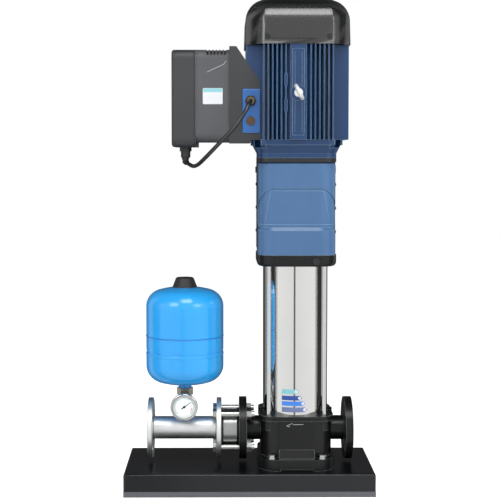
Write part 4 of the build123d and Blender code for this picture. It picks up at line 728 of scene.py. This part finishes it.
@dataclass
class SleeveFilm(SubAssembly):
    """Blank coloured strips wrapped on the lower front of the sleeve.

    Attributes:
        radius: radius of the films' back, just off the sleeve.
        start: left end of every strip, from the pump axis.
        thick: thickness of a film.
        mark_share: radius of the round end mark, as a share of half the strip's height.
        mark_inset: distance of the mark from the strip's tip, as such a share.
        mark_sides: sides of the mark.
        bends: steps in which a film is bent round.
        strips: the strips from top to bottom.
    """

    radius: float = 86.05 * MM
    start: float = -39.9 * MM
    thick: float = 0.12 * MM
    mark_share: float = 0.72
    mark_inset: float = 1.15
    mark_sides: int = 12
    bends: int = 16
    strips: tuple[Strip, ...] = (
        Strip(CYAN_FILM, 6.2 * MM, 254.8 * MM, 267.6 * MM),
        Strip(NAVY_FILM, 14.3 * MM, 239.0 * MM, 250.6 * MM),
        Strip(SKY_FILM, 23.4 * MM, 224.2 * MM, 236.0 * MM),
        Strip(SLATE_FILM, 28.8 * MM, 207.6 * MM, 220.4 * MM),
    )

    def build(self) -> None:
        """Wrap each strip and its white end mark."""
        for index, strip in enumerate(self.strips):
            middle = (strip.low + strip.high) / 2
            half = (strip.high - strip.low) / 2
            film = self._wrap(
                f"film_strip_{index + 1}",
                [
                    (self.start, -half),
                    (strip.reach - half, -half),
                    (strip.reach, 0.0),
                    (strip.reach - half, half),
                    (self.start, half),
                ],
                middle,
                self.radius,
            )
            self.seat(film, strip.finish, "sleeve_stainless")
            size = half * self.mark_share
            centre = strip.reach - half * self.mark_inset
            mark = self._wrap(
                f"film_mark_{index + 1}",
                [
                    (centre + size * math.cos(turn), size * math.sin(turn))
                    for turn in around(self.mark_sides)
                ],
                middle,
                self.radius + self.thick,
            )
            self.seat(mark, WHITE_FILM, "sleeve_stainless")

    def _wrap(
        self, name: str, outline: list[Point], middle: float, radius: float
    ) -> bpy.types.Object:
        """Bend a flat outline round the sleeve.

        Args:
            name: name of the piece.
            outline: points (across, up) about the strip's middle height.
            middle: height of the strip's middle.
            radius: radius of its back face.

        Returns:
            The wrapped piece.
        """
        form = bmesh.new()
        slab(
            form,
            [Vector((across, 0.0, up)) for across, up in outline],
            Vector((0.0, self.thick, 0.0)),
        )
        left = min(across for across, _ in outline)
        right = max(across for across, _ in outline)
        for step in range(1, self.bends):
            bmesh.ops.bisect_plane(
                form,
                geom=form.verts[:] + form.edges[:] + form.faces[:],
                plane_co=(left + (right - left) * step / self.bends, 0.0, 0.0),
                plane_no=(1.0, 0.0, 0.0),
            )
        for vert in form.verts:
            turn = vert.co.x / radius
            reach = radius + vert.co.y
            vert.co = Vector(
                (
                    PUMP_AXIS_X + reach * math.sin(turn),
                    -reach * math.cos(turn),
                    middle + vert.co.z,
                )
            )
        return mesh_piece(name, form)


@dataclass
class FlowArrow(SubAssembly):
    """Raised flow arrow on the front of the pump's foot casting.

    Attributes:
        front: depth of the casting's front face.
        proud: how far the arrow stands out.
        width: width of a stroke.
        strokes: shaft and both barbs, each from end to end in millimetres.
    """

    front: float = -93.0 * MM
    proud: float = 0.9 * MM
    width: float = 1.2 * MM
    strokes: tuple[tuple[Point, Point], ...] = (
        ((113.0, 176.6), (141.0, 177.2)),
        ((97.0, 173.4), (113.5, 180.4)),
        ((97.0, 173.4), (106.0, 171.6)),
    )

    def build(self) -> None:
        """Lay the strokes on the casting's front face."""
        form = bmesh.new()
        for ends in self.strokes:
            stroke(form, ends, self.front, self.width, self.proud)
        self.seat(mesh_piece("flow_arrow", form), PALE_INK, "casting_black")


@dataclass
class InverterMarks(SubAssembly):
    """Blank label, painted highlight along the recess edge and display segments of the inverter.

    Attributes:
        label_middle: middle of the label, across and up.
        label_size: width and height of the label.
        label_corner: its corner radius.
        band: height of the coloured band at its top.
        band_inset: white left round the band, and the band's corner radius.
        thick: thickness of a film.
        edge_line: corners of the painted highlight along the recess edge, in millimetres.
        edge_width: width of that highlight strip.
        edge_proud: how far it stands out.
        rows: rows of display bars.
        columns: bars in each row.
        pitch: distance between bars, across and up.
        bar_half: half the width and half the height of a bar.
        bar_proud: how far a bar stands out.
    """

    label_middle: Point = (-94.6 * MM, 1030.8 * MM)
    label_size: Point = (51.0 * MM, 41.0 * MM)
    label_corner: float = 2.0 * MM
    band: float = 9.0 * MM
    band_inset: float = 1.0 * MM
    thick: float = 0.2 * MM
    edge_line: tuple[Point, ...] = ((-59.8, 1121.6), (-66.2, 1112.4), (-109.2, 1092.6))
    edge_width: float = 1.5 * MM
    edge_proud: float = 0.6 * MM
    rows: int = 3
    columns: int = 5
    pitch: Point = (13.0 * MM, 11.0 * MM)
    bar_half: Point = (4.5 * MM, 1.6 * MM)
    bar_proud: float = 0.15 * MM

    def build(self) -> None:
        """Stick the label on the heatsink's front, paint a highlight along the recess edge and lay
        the display's bars.
        """
        face = Vector(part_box("inverter_heatsink")[0]).y
        self._label(face)
        # A pale strip along the recess edge: a painted highlight.
        form = bmesh.new()
        for ends in zip(self.edge_line, self.edge_line[1:]):
            stroke(form, ends, face, self.edge_width, self.edge_proud)
        self.seat(mesh_piece("recess_painted_highlight", form), PALE_INK, "heatsink_grey")
        self._bars()

    def _label(self, face: float) -> None:
        """Stick on the white label and its coloured band.

        Args:
            face: depth of the heatsink's front.
        """
        width, height = self.label_size
        across, up = self.label_middle
        label = self._film(
            "inverter_label", width, height, self.label_corner, (across, face, up)
        )
        self.seat(label, WHITE_FILM, "heatsink_grey")
        band = self._film(
            "inverter_label_band",
            width - 2 * self.band_inset,
            self.band,
            self.band_inset,
            (across, face - self.thick, up + height / 2 - self.band / 2 - self.band_inset),
        )
        self.seat(band, CYAN_FILM, "heatsink_grey")

    def _film(
        self, name: str, width: float, height: float, corner: float, place: Place
    ) -> bpy.types.Object:
        """Make a flat round-cornered film that faces the front.

        Args:
            name: name of the piece.
            width: width of the film.
            height: height of the film.
            corner: corner radius.
            place: middle of its back face.

        Returns:
            The film.
        """
        form = bmesh.new()
        middle = Vector(place)
        slab(
            form,
            [
                middle + Vector((across, 0.0, up))
                for across, up in round_outline(width, height, corner)
            ],
            Vector((0.0, -self.thick, 0.0)),
        )
        return mesh_piece(name, form)

    def _bars(self) -> None:
        """Lay pale segment bars behind the display's front."""
        low, high = (Vector(corner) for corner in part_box("display_window"))
        middle = (low + high) / 2
        across, up = self.pitch
        half_width, half_height = self.bar_half
        form = bmesh.new()
        for row in range(self.rows):
            for column in range(self.columns):
                centre = Vector(
                    (
                        low.x,
                        middle.y + (column - self.columns // 2) * across,
                        middle.z + (self.rows // 2 - row) * up,
                    )
                )
                slab(
                    form,
                    [
                        centre + Vector((0.0, side * half_width, rise * half_height))
                        for side, rise in ((1, -1), (-1, -1), (-1, 1), (1, 1))
                    ],
                    Vector((-self.bar_proud, 0.0, 0.0)),
                )
        self.seat(mesh_piece("display_bars", form), CYAN_FILM, "display_glass")


@dataclass(frozen=True)
class Sector:
    """Flat ring sector of the gauge's print.

    Attributes:
        inner: inner radius.
        outer: outer radius.
        low: first angle in degrees, counted from the right and upwards.
        high: last angle in degrees.
        steps: segments.
    """

    inner: float
    outer: float
    low: float
    high: float
    steps: int = 1


@dataclass
class GaugeFace(SubAssembly):
    """Scale of the pressure gauge: ticks, arc line and red limit arc.

    Attributes:
        centre: middle of the dial, across and up.
        sweep: first and last angle of the scale in degrees.
        thick: thickness of the print.
        spaces: spaces between the ticks.
        long_every: a long tick stands at every so many spaces.
        long_start: inner radius of a long tick.
        short_start: inner radius of a short tick.
        tick_end: outer radius of the ticks, where the arc line begins.
        tick_half: half a tick's width in degrees.
        line_end: outer radius of the arc line.
        line_steps: segments of the arc line.
        limit: red limit arc.
    """

    centre: Point = (TANK_AXIS_X, 218.5 * MM)
    sweep: Point = (225.0, -45.0)
    thick: float = 0.1 * MM
    spaces: int = 40
    long_every: int = 5
    long_start: float = 21.0 * MM
    short_start: float = 23.3 * MM
    tick_end: float = 25.6 * MM
    tick_half: float = 0.6
    line_end: float = 26.1 * MM
    line_steps: int = 48
    limit: Sector = Sector(19.0 * MM, 20.8 * MM, -40.0, -8.0, 8)

    def build(self) -> None:
        """Print the scale on the dial."""
        start, end = self.sweep
        scale = []
        for step in range(self.spaces + 1):
            angle = start + (end - start) * step / self.spaces
            inner = self.short_start if step % self.long_every else self.long_start
            scale.append(
                Sector(inner, self.tick_end, angle - self.tick_half, angle + self.tick_half)
            )
        scale.append(Sector(self.tick_end, self.line_end, end, start, self.line_steps))
        self.seat(self._print("dial_ticks", scale), INK, "dial_white")
        self.seat(self._print("dial_limit_arc", [self.limit]), RED_INK, "dial_white")

    def _print(self, name: str, sectors: list[Sector]) -> bpy.types.Object:
        """Print flat sectors on the dial's front.

        Args:
            name: name of the piece.
            sectors: what is printed.

        Returns:
            The printed piece.
        """
        face = Vector(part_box("gauge_dial")[0]).y
        across, up = self.centre
        form = bmesh.new()
        for part in sectors:
            turns = [
                math.radians(part.low + (part.high - part.low) * step / part.steps)
                for step in range(part.steps + 1)
            ]
            for first, last in zip(turns, turns[1:]):
                bounds = (
                    (part.inner, first),
                    (part.outer, first),
                    (part.outer, last),
                    (part.inner, last),
                )
                slab(
                    form,
                    [
                        Vector((across + r * math.cos(turn), face, up + r * math.sin(turn)))
                        for r, turn in bounds
                    ],
                    Vector((0.0, -self.thick, 0.0)),
                )
        return mesh_piece(name, form)


@dataclass
class PipeWelds(SubAssembly):
    """Rippled weld beads where the spool's flanges meet its pipe.

    Attributes:
        pipe_radius: outer radius of the pipe.
        bead: radius of the bead.
        places: where the beads run, along the pipe.
        ripples: ripples in one bead.
        ripple_share: height of a ripple, as a share of the bead.
        steps: steps round the pipe.
        sides: sides of the bead's section.
    """

    pipe_radius: float = 30.15 * MM
    bead: float = 1.9 * MM
    places: Point = (-254.2 * MM, -86.8 * MM)
    ripples: int = 24
    ripple_share: float = 0.16
    steps: int = 96
    sides: int = 8

    def build(self) -> None:
        """Run a bead round each joint."""
        for index, place in enumerate(self.places):
            form = bmesh.new()
            closed_band(form, [self._section(place, turn) for turn in around(self.steps)])
            self.seat(mesh_piece(f"weld_bead_{index + 1}", form, True), WELD, "spool_stainless")

    def _section(self, place: float, turn: float) -> list[Vector]:
        """Return the bead's section at one angle round the pipe.

        Args:
            place: middle of the bead along the pipe.
            turn: angle round the pipe.

        Returns:
            Points of the section in order.
        """
        swell = self.bead * (1.0 + self.ripple_share * math.sin(turn * self.ripples))
        points = []
        for side in around(self.sides):
            reach = self.pipe_radius + swell * math.sin(side)
            points.append(
                Vector(
                    (
                        place + swell * math.cos(side),
                        reach * math.cos(turn),
                        SPOOL_AXIS_Z + reach * math.sin(turn),
                    )
                )
            )
        return points


@dataclass
class TankSeams(SubAssembly):
    """Weld seam and rolled bead round the diaphragm tank.

    Attributes:
        radius: radius that both sections are measured from, just inside the shell.
        steps: steps round the tank.
        seam_height: height of the weld seam.
        seam_section: corners (out, up) of the seam.
        bead_height: height of the rolled bead.
        bead_half: half the bead's height.
        bead_proud: how far the bead stands out of its foot.
        bead_sunk: how deep its foot lies in the shell.
        bead_steps: segments of its round.
    """

    radius: float = 102.6 * MM
    steps: int = 96
    seam_height: float = 400.0 * MM
    seam_section: tuple[Point, ...] = (
        (-0.6 * MM, -2.2 * MM),
        (1.3 * MM, -1.6 * MM),
        (1.3 * MM, 0.2 * MM),
        (-0.6 * MM, 0.8 * MM),
    )
    bead_height: float = 352.0 * MM
    bead_half: float = 4.2 * MM
    bead_proud: float = 1.9 * MM
    bead_sunk: float = 0.8 * MM
    bead_steps: int = 8

    def build(self) -> None:
        """Run the seam and the bead."""
        seam = self._ring("tank_weld_seam", self.seam_height, list(self.seam_section))
        # The seam's darker blue is painted shade along the weld.
        self.seat(seam, TANK_SEAM, "tank_blue")
        round_section = [
            (
                self.bead_proud * math.sin(math.pi * step / self.bead_steps) - self.bead_sunk,
                self.bead_half * math.cos(math.pi * step / self.bead_steps),
            )
            for step in range(self.bead_steps, -1, -1)
        ]
        bead = self._ring("tank_rolled_bead", self.bead_height, round_section)
        self.seat(bead, TANK_BLUE, "tank_blue")

    def _ring(self, name: str, height: float, section: list[Point]) -> bpy.types.Object:
        """Sweep a closed section round the tank.

        Args:
            name: name of the piece.
            height: height that the section is measured from.
            section: corners (out, up) in order.

        Returns:
            The ring.
        """
        form = bmesh.new()
        closed_band(
            form,
            [
                [
                    Vector(
                        (
                            TANK_AXIS_X + (self.radius + out) * math.cos(turn),
                            (self.radius + out) * math.sin(turn),
                            height + up,
                        )
                    )
                    for out, up in section
                ]
                for turn in around(self.steps)
            ],
        )
        return mesh_piece(name, form, True)


@dataclass
class MotorPad(SubAssembly):
    """Fine upright ribs on the motor's front pad.

    Attributes:
        front: depth of the pad's face.
        low: lower end of the ribs.
        high: upper end of the ribs.
        spread: middle of each rib, across from the pump axis.
        width: width of a rib.
        proud: how far a rib stands out.
    """

    front: float = -131.0 * MM
    low: float = 938.0 * MM
    high: float = 1142.0 * MM
    spread: tuple[float, ...] = (-15.0 * MM, -9.0 * MM, 9.0 * MM, 15.0 * MM)
    width: float = 1.3 * MM
    proud: float = 1.2 * MM

    def build(self) -> None:
        """Stand the ribs on the pad."""
        form = bmesh.new()
        for across in self.spread:
            left = PUMP_AXIS_X + across - self.width / 2
            right = PUMP_AXIS_X + across + self.width / 2
            slab(
                form,
                [
                    Vector((x, self.front, z))
                    for x, z in (
                        (left, self.low),
                        (right, self.low),
                        (right, self.high),
                        (left, self.high),
                    )
                ],
                Vector((0.0, -self.proud, 0.0)),
            )
        self.seat(mesh_piece("pad_ribs", form), MOTOR_BLUE, "motor_blue")


@dataclass
class CowlDome(SubAssembly):
    """Fan cowl with the full round of its deep-drawn top.

    Attributes:
        half_width: half width of the cowl's straight walls.
        wall: thickness of its sheet.
        packed_round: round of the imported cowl's top.
        full_round: round that its top really has.
        levels: level cuts over that round.
        crease: angle above which an edge stays sharp, in degrees.
        weld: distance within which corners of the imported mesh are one.
    """

    half_width: float = 136.0 * MM
    wall: float = 3.0 * MM
    packed_round: float = 26.0 * MM
    full_round: float = 58.0 * MM
    levels: int = 14
    crease: float = 38.0
    weld: float = 0.002 * MM

    def build(self) -> None:
        """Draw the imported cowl's upper walls in to the fuller round."""
        top = Vector(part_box("fan_cover")[1]).z
        form = bmesh.new()
        form.from_mesh(bpy.data.objects["fan_cover"].data)
        bmesh.ops.remove_doubles(form, verts=form.verts, dist=self.weld)
        for level in range(1, self.levels + 1):
            bmesh.ops.bisect_plane(
                form,
                geom=form.verts[:] + form.edges[:] + form.faces[:],
                plane_co=(0.0, 0.0, top - self.full_round * level / self.levels),
                plane_no=(0.0, 0.0, 1.0),
            )
        for vert in form.verts:
            share = self._draw_in(top - vert.co.z)
            vert.co.x = PUMP_AXIS_X + (vert.co.x - PUMP_AXIS_X) * share
            vert.co.y *= share
        cowl = mesh_piece("cowl_dome", form, True)
        cowl.data.set_sharp_from_angle(angle=math.radians(self.crease))
        self.seat(cowl, COWL_BLACK, "cowl_black")
        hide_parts("fan_cover")

    def _draw_in(self, depth: float) -> float:
        """Return the share of its width that the cowl keeps at a depth.

        Args:
            depth: distance below the cowl's top.

        Returns:
            Scale about the pump's axis.
        """
        depth = max(depth, self.wall)
        return self._half(depth, self.full_round) / self._half(depth, self.packed_round)

    def _half(self, depth: float, radius: float) -> float:
        """Return the half width of a cowl whose top has a round.

        Args:
            depth: distance below the top.
            radius: radius of the round.

        Returns:
            Half width at that depth.
        """
        if depth >= radius:
            return self.half_width
        return self.half_width - radius + math.sqrt(radius**2 - (radius - depth) ** 2)


@dataclass
class InverterBaffle(SubAssembly):
    """Dark sheet behind the comb slots at the top of the inverter: painted shade inside the slots.

    Attributes:
        left: left side, across from the pump axis.
        right: right side, across from the pump axis.
        low: lower edge.
        high: upper edge, just inside the slots.
        front: depth of its front face.
        thick: thickness of the sheet.
    """

    left: float = -258.0 * MM
    right: float = -180.0 * MM
    low: float = 1100.0 * MM
    high: float = 1150.3 * MM
    front: float = -60.0 * MM
    thick: float = 3.0 * MM

    def build(self) -> None:
        """Hang the dark sheet inside, clear of both faces, as painted shade behind the slots."""
        form = bmesh.new()
        slab(
            form,
            [
                Vector((PUMP_AXIS_X + across, self.front, up))
                for across, up in (
                    (self.left, self.low),
                    (self.right, self.low),
                    (self.right, self.high),
                    (self.left, self.high),
                )
            ],
            Vector((0.0, self.thick, 0.0)),
        )
        self.seat(mesh_piece("comb_slot_shade", form), GLAND, "heatsink_grey")


@dataclass
class MotorCable(SubAssembly):
    """Cable from the terminal box to the gland under the inverter.

    Attributes:
        diameter: outer diameter of the cable.
        length: length of its route; not used.
        route: points of the route from the box, in millimetres, across from the pump axis.
        ring_outer: outer radius of the brass ring in the gland's mouth.
        ring_inner: inner radius of that ring.
        ring_thick: thickness of that ring.
        ring_steps: steps round it.
    """

    diameter: float = 10.5 * MM
    length: float = 319.4 * MM
    route: tuple[Place, ...] = (
        (-121.0, -110.0, 1019.0),
        (-121.0, -134.0, 1019.0),
        (-127.5, -155.0, 1005.0),
        (-141.0, -162.0, 980.0),
        (-159.0, -163.0, 954.0),
        (-180.0, -158.0, 931.0),
        (-202.0, -147.0, 909.0),
        (-223.0, -130.0, 887.0),
        (-242.0, -109.0, 868.0),
        (-258.0, -88.0, 853.0),
        (-273.0, -70.0, 849.0),
        (-287.0, -54.0, 860.0),
    )
    ring_outer: float = 9.4 * MM
    ring_inner: float = 5.6 * MM
    ring_thick: float = 0.8 * MM
    ring_steps: int = 40

    def build(self) -> None:
        points = [
            Vector((PUMP_AXIS_X + across * MM, out * MM, up * MM)) for across, out, up in self.route
        ]
        data = bpy.data.curves.new("motor_cable_run", "CURVE")
        data.dimensions = "3D"
        data.bevel_depth = self.diameter / 2
        data.bevel_resolution = 6
        data.resolution_u = 12
        data.use_fill_caps = True
        spline = data.splines.new("NURBS")
        spline.points.add(len(points) - 1)
        for knot, point in zip(spline.points, points):
            knot.co = (*point, 1.0)
        spline.order_u = 3
        spline.use_endpoint_u = True
        run = bpy.data.objects.new("motor_cable_run", data)
        bpy.context.scene.collection.objects.link(run)
        self.seat(run, CABLE, "cable_jacket")
        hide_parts("motor_cable")
        self._gland_ring(points[0])

    def _gland_ring(self, mouth: Vector) -> None:
        """Put the brass ring in the mouth of the terminal box's gland.

        Args:
            mouth: point where the cable leaves the gland.
        """
        front = Vector(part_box("terminal_gland")[0]).y
        form = bmesh.new()
        closed_band(
            form,
            [
                [
                    Vector(
                        (
                            mouth.x + radius * math.cos(turn),
                            front - out,
                            mouth.z + radius * math.sin(turn),
                        )
                    )
                    for turn in around(self.ring_steps)
                ]
                for radius, out in (
                    (self.ring_inner, 0.0),
                    (self.ring_outer, 0.0),
                    (self.ring_outer, self.ring_thick),
                    (self.ring_inner, self.ring_thick),
                )
            ],
        )
        self.seat(mesh_piece("gland_mouth_ring", form), BRASS_RING, "gland_black")


def any_ray(
    tree: bpy.types.NodeTree, path: bpy.types.Node, kinds: tuple[str, ...]
) -> bpy.types.NodeSocket:
    """Mark the rays that are of any of the given kinds.

    Args:
        tree: node tree that takes the nodes.
        path: its Light Path node.
        kinds: outputs of that node.

    Returns:
        Socket that is 1 for such a ray.
    """
    mark = path.outputs[kinds[0]]
    for kind in kinds[1:]:
        mark = add_node(
            tree, "ShaderNodeMath", {"operation": "MAXIMUM"}, {0: mark, 1: path.outputs[kind]}
        ).outputs["Value"]
    return mark


@dataclass(frozen=True)
class Softbox:
    """One square area lamp.

    Attributes:
        name: name of the lamp.
        place: where it hangs.
        target: point that it faces.
        size: side of the box.
        power: power in watts.
        mirrored: whether shiny pieces mirror it.
    """

    name: str
    place: Place
    target: Place
    size: float
    power: float
    mirrored: bool = True

    def hang(self) -> None:
        """Hang the lamp and turn it to its target."""
        data = bpy.data.lights.new(self.name, "AREA")
        data.size = self.size
        data.energy = self.power
        lamp = bpy.data.objects.new(self.name, data)
        lamp.visible_glossy = self.mirrored
        aim = Vector(self.target) - Vector(self.place)
        turned = aim.to_track_quat("-Z", "Y").to_matrix().to_4x4()
        lamp.matrix_world = Matrix.Translation(self.place) @ turned
        bpy.context.scene.collection.objects.link(lamp)


@dataclass
class Studio:
    """Pale floor, soft lights, white surroundings and the camera.

    Attributes:
        lamps: the softboxes.
        floor_half: half the floor's side.
        floor_low: underside of the floor.
        floor_thick: thickness of the floor, whose top lies just below the base.
        floor_colour: colour of the floor.
        floor_glow: light that the floor adds for rays that show it, to look white.
        speckle_mm: size of the floor's speckle.
        soft_light: strength of the surroundings on dull surfaces.
        overhead: how the mirrored surroundings fade upwards, from and to (height, strength).
        bands: strength of the mirrored surroundings by bearing, from behind (0) over the
            left to the front (0.5) and on over the right. The dark bands stand for the
            black flags beside and before polished metal.
        camera_place: where the camera stands.
        lens: its focal length in millimetres.
        sensor: width of its sensor in millimetres.
        pitch: how far it looks down, in degrees.
        yaw: how far it looks to the right, in degrees.
        shift: shift of its lens.
    """

    lamps: tuple[Softbox, ...] = (
        Softbox("key_softbox", (-1.9, -2.7, 2.3), (0.0, 0.0, 0.75), 1.5, 30.0),
        Softbox("fill_softbox", (2.1, -2.6, 1.9), (0.0, 0.0, 0.7), 1.3, 17.0),
        Softbox("top_softbox", (0.12, -1.55, 2.75), (0.1, 0.0, 0.7), 1.2, 27.0),
        Softbox("right_edge_light", (2.9, -0.5, 1.3), (0.2, 0.0, 0.8), 1.4, 40.0, False),
        Softbox("left_edge_light", (-2.9, -0.5, 1.3), (0.0, 0.0, 0.8), 1.4, 22.0, False),
        Softbox("front_softbox", (0.1, -3.5, 1.5), (0.1, 0.0, 0.9), 1.0, 12.0, False),
    )
    floor_half: float = 9.0
    floor_low: float = -12.0 * MM
    floor_thick: float = 11.5 * MM
    floor_colour: str = "#eef0f1"
    floor_glow: float = 0.82
    speckle_mm: float = 11.11
    soft_light: float = 0.22
    overhead: tuple[Point, Point] = ((0.35, 1.0), (0.8, 0.25))
    bands: tuple[Point, ...] = (
        (0.0, 0.06),
        (0.12, 0.1),
        (0.14, 0.6),
        (0.19, 0.75),
        (0.205, 0.04),
        (0.283, 0.04),
        (0.295, 1.0),
        (0.476, 0.92),
        (0.480, 0.12),
        (0.492, 0.12),
        (0.496, 0.92),
        (0.70, 1.0),
        (0.712, 0.04),
        (0.79, 0.04),
        (0.805, 0.75),
        (0.86, 0.6),
        (0.88, 0.1),
        (1.0, 0.06),
    )
    camera_place: Place = (-0.061, -3.3, 0.8748)
    lens: float = 89.37
    sensor: float = 36.0
    pitch: float = 2.913
    yaw: float = 0.423
    shift: Point = (0.03, -0.06)

    def build(self) -> None:
        """Set up everything round the object."""
        self._floor()
        self._surroundings()
        for lamp in self.lamps:
            lamp.hang()
        self._camera()
        bpy.context.scene.view_settings.view_transform = "Standard"

    def _floor(self) -> None:
        """Lay a pale floor that looks white but keeps the shadow."""
        form = bmesh.new()
        slab(
            form,
            [
                Vector((x * self.floor_half, y * self.floor_half, self.floor_low))
                for x, y in ((-1, -1), (1, -1), (1, 1), (-1, 1))
            ],
            Vector((0.0, 0.0, self.floor_thick)),
        )
        floor = mesh_piece("studio_floor", form)
        material = bpy.data.materials.new("pale_studio_floor")
        material.use_nodes = True
        tree = material.node_tree
        shader = tree.nodes["Principled BSDF"]
        path = add_node(tree, "ShaderNodeLightPath")
        place = add_node(tree, "ShaderNodeTexCoord").outputs["Object"]
        speckle = add_node(
            tree, "ShaderNodeTexNoise", {"Scale": 1 / (self.speckle_mm * MM)}, {"Vector": place}
        )
        sheen = add_node(
            tree,
            "ShaderNodeMapRange",
            {"To Min": 0.78, "To Max": 0.86},
            {"Value": speckle.outputs["Fac"]},
        )
        shown = any_ray(tree, path, ("Is Camera Ray", "Is Transmission Ray", "Is Glossy Ray"))
        glow = add_node(
            tree, "ShaderNodeMath", {"operation": "MULTIPLY", 1: self.floor_glow}, {0: shown}
        )
        shader.inputs["Base Color"].default_value = linear(self.floor_colour)
        shader.inputs["Emission Color"].default_value = linear(WHITE)
        tree.links.new(sheen.outputs["Result"], shader.inputs["Roughness"])
        tree.links.new(glow.outputs["Value"], shader.inputs["Emission Strength"])
        floor.data.materials.append(material)
        floor.visible_glossy = False

    def _surroundings(self) -> None:
        """Make the world white to the eye and a lit studio to polished metal."""
        world = bpy.data.worlds.new("studio_surroundings")
        world.use_nodes = True
        bpy.context.scene.world = world
        tree = world.node_tree
        tree.nodes.clear()
        out = add_node(tree, "ShaderNodeOutputWorld")
        path = add_node(tree, "ShaderNodeLightPath")
        soft = add_node(
            tree, "ShaderNodeBackground", {"Color": linear(WHITE), "Strength": self.soft_light}
        )
        seen = add_node(tree, "ShaderNodeBackground", {"Color": linear(WHITE), "Strength": 1.0})
        shiny = add_node(
            tree,
            "ShaderNodeMixShader",
            {},
            {
                0: path.outputs["Is Glossy Ray"],
                1: soft.outputs[0],
                2: self._mirrored(tree).outputs[0],
            },
        )
        whole = add_node(
            tree,
            "ShaderNodeMixShader",
            {},
            {
                0: any_ray(tree, path, ("Is Camera Ray", "Is Transmission Ray")),
                1: shiny.outputs[0],
                2: seen.outputs[0],
            },
        )
        tree.links.new(whole.outputs[0], out.inputs["Surface"])

    def _mirrored(self, tree: bpy.types.NodeTree) -> bpy.types.Node:
        """Lay out the upright light and dark bands that polished metal mirrors.

        Args:
            tree: node tree of the world.

        Returns:
            Background node of the bands.
        """
        view = add_node(tree, "ShaderNodeTexCoord").outputs["Generated"]
        parts = add_node(tree, "ShaderNodeSeparateXYZ", {}, {0: view})
        front = add_node(
            tree, "ShaderNodeMath", {"operation": "MULTIPLY", 1: -1.0}, {0: parts.outputs["Y"]}
        )
        bearing = add_node(
            tree,
            "ShaderNodeMath",
            {"operation": "ARCTAN2"},
            {0: parts.outputs["X"], 1: front.outputs["Value"]},
        )
        share = add_node(
            tree,
            "ShaderNodeMapRange",
            {"From Min": -math.pi, "From Max": math.pi},
            {"Value": bearing.outputs["Value"]},
        )
        ramp = add_node(tree, "ShaderNodeValToRGB", {}, {"Fac": share.outputs["Result"]})
        stops = ramp.color_ramp.elements
        for at, grey in self.bands[1:-1]:
            stops.new(at).color = (grey, grey, grey, 1.0)
        for stop, (_, grey) in ((stops[0], self.bands[0]), (stops[-1], self.bands[-1])):
            stop.color = (grey, grey, grey, 1.0)
        (low, low_strength), (high, high_strength) = self.overhead
        fade = add_node(
            tree,
            "ShaderNodeMapRange",
            {"From Min": low, "From Max": high, "To Min": low_strength, "To Max": high_strength},
            {"Value": parts.outputs["Z"]},
        )
        return add_node(
            tree,
            "ShaderNodeBackground",
            {},
            {"Color": ramp.outputs["Color"], "Strength": fade.outputs["Result"]},
        )

    def _camera(self) -> None:
        """Place the camera before the set, a little left of its middle."""
        data = bpy.data.cameras.new("front_camera")
        data.lens = self.lens
        data.sensor_width = self.sensor
        data.shift_x, data.shift_y = self.shift
        camera = bpy.data.objects.new("front_camera", data)
        camera.location = self.camera_place
        camera.rotation_euler = (math.radians(90.0 - self.pitch), 0.0, -math.radians(self.yaw))
        bpy.context.scene.collection.objects.link(camera)
        bpy.context.scene.camera = camera


@dataclass
class PackedNodes:
    """The frame's own nodes, each in the finish of its real piece.

    Attributes:
        nodes: loaded nodes, by name.
        finisher: gives finishes to them.
        pieces: names of the nodes finished so far.
    """

    nodes: dict[str, bpy.types.Object]
    finisher: Finisher
    pieces: list[str] = field(default_factory=list)

    def build(self) -> None:
        """Finish every node, and the gauge's glass as a clear lens."""
        for finish, names in NODE_FINISHES.items():
            for name in names:
                self.finisher.apply(self.nodes[name], finish)
                self.pieces.append(name)
        lens = self.nodes["gauge_glass"]
        lens.data.materials.clear()
        lens.data.materials.append(ClearLens().build())
        self.pieces.append("gauge_glass")


SUB_ASSEMBLIES: tuple[type[SubAssembly], ...] = (
    SleeveFilm,
    FlowArrow,
    InverterMarks,
    GaugeFace,
    PipeWelds,
    TankSeams,
    MotorPad,
    CowlDome,
    InverterBaffle,
    MotorCable,
)


def main() -> None:
    """Load the frame, build the looks in order and log each piece."""
    logging.basicConfig(level=logging.INFO)
    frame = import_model()
    finisher = Finisher()
    groups: list[PackedNodes | SubAssembly] = [PackedNodes(frame["nodes"], finisher)]
    groups += [kind(finisher) for kind in SUB_ASSEMBLIES]
    for group in groups:
        group.build()
        for piece in group.pieces:
            LOG.info("%s: %s", type(group).__name__, piece)
    studio = Studio()
    studio.build()
    LOG.info("Studio: floor, camera and %d softboxes", len(studio.lamps))


if __name__ == "__main__":
    main()
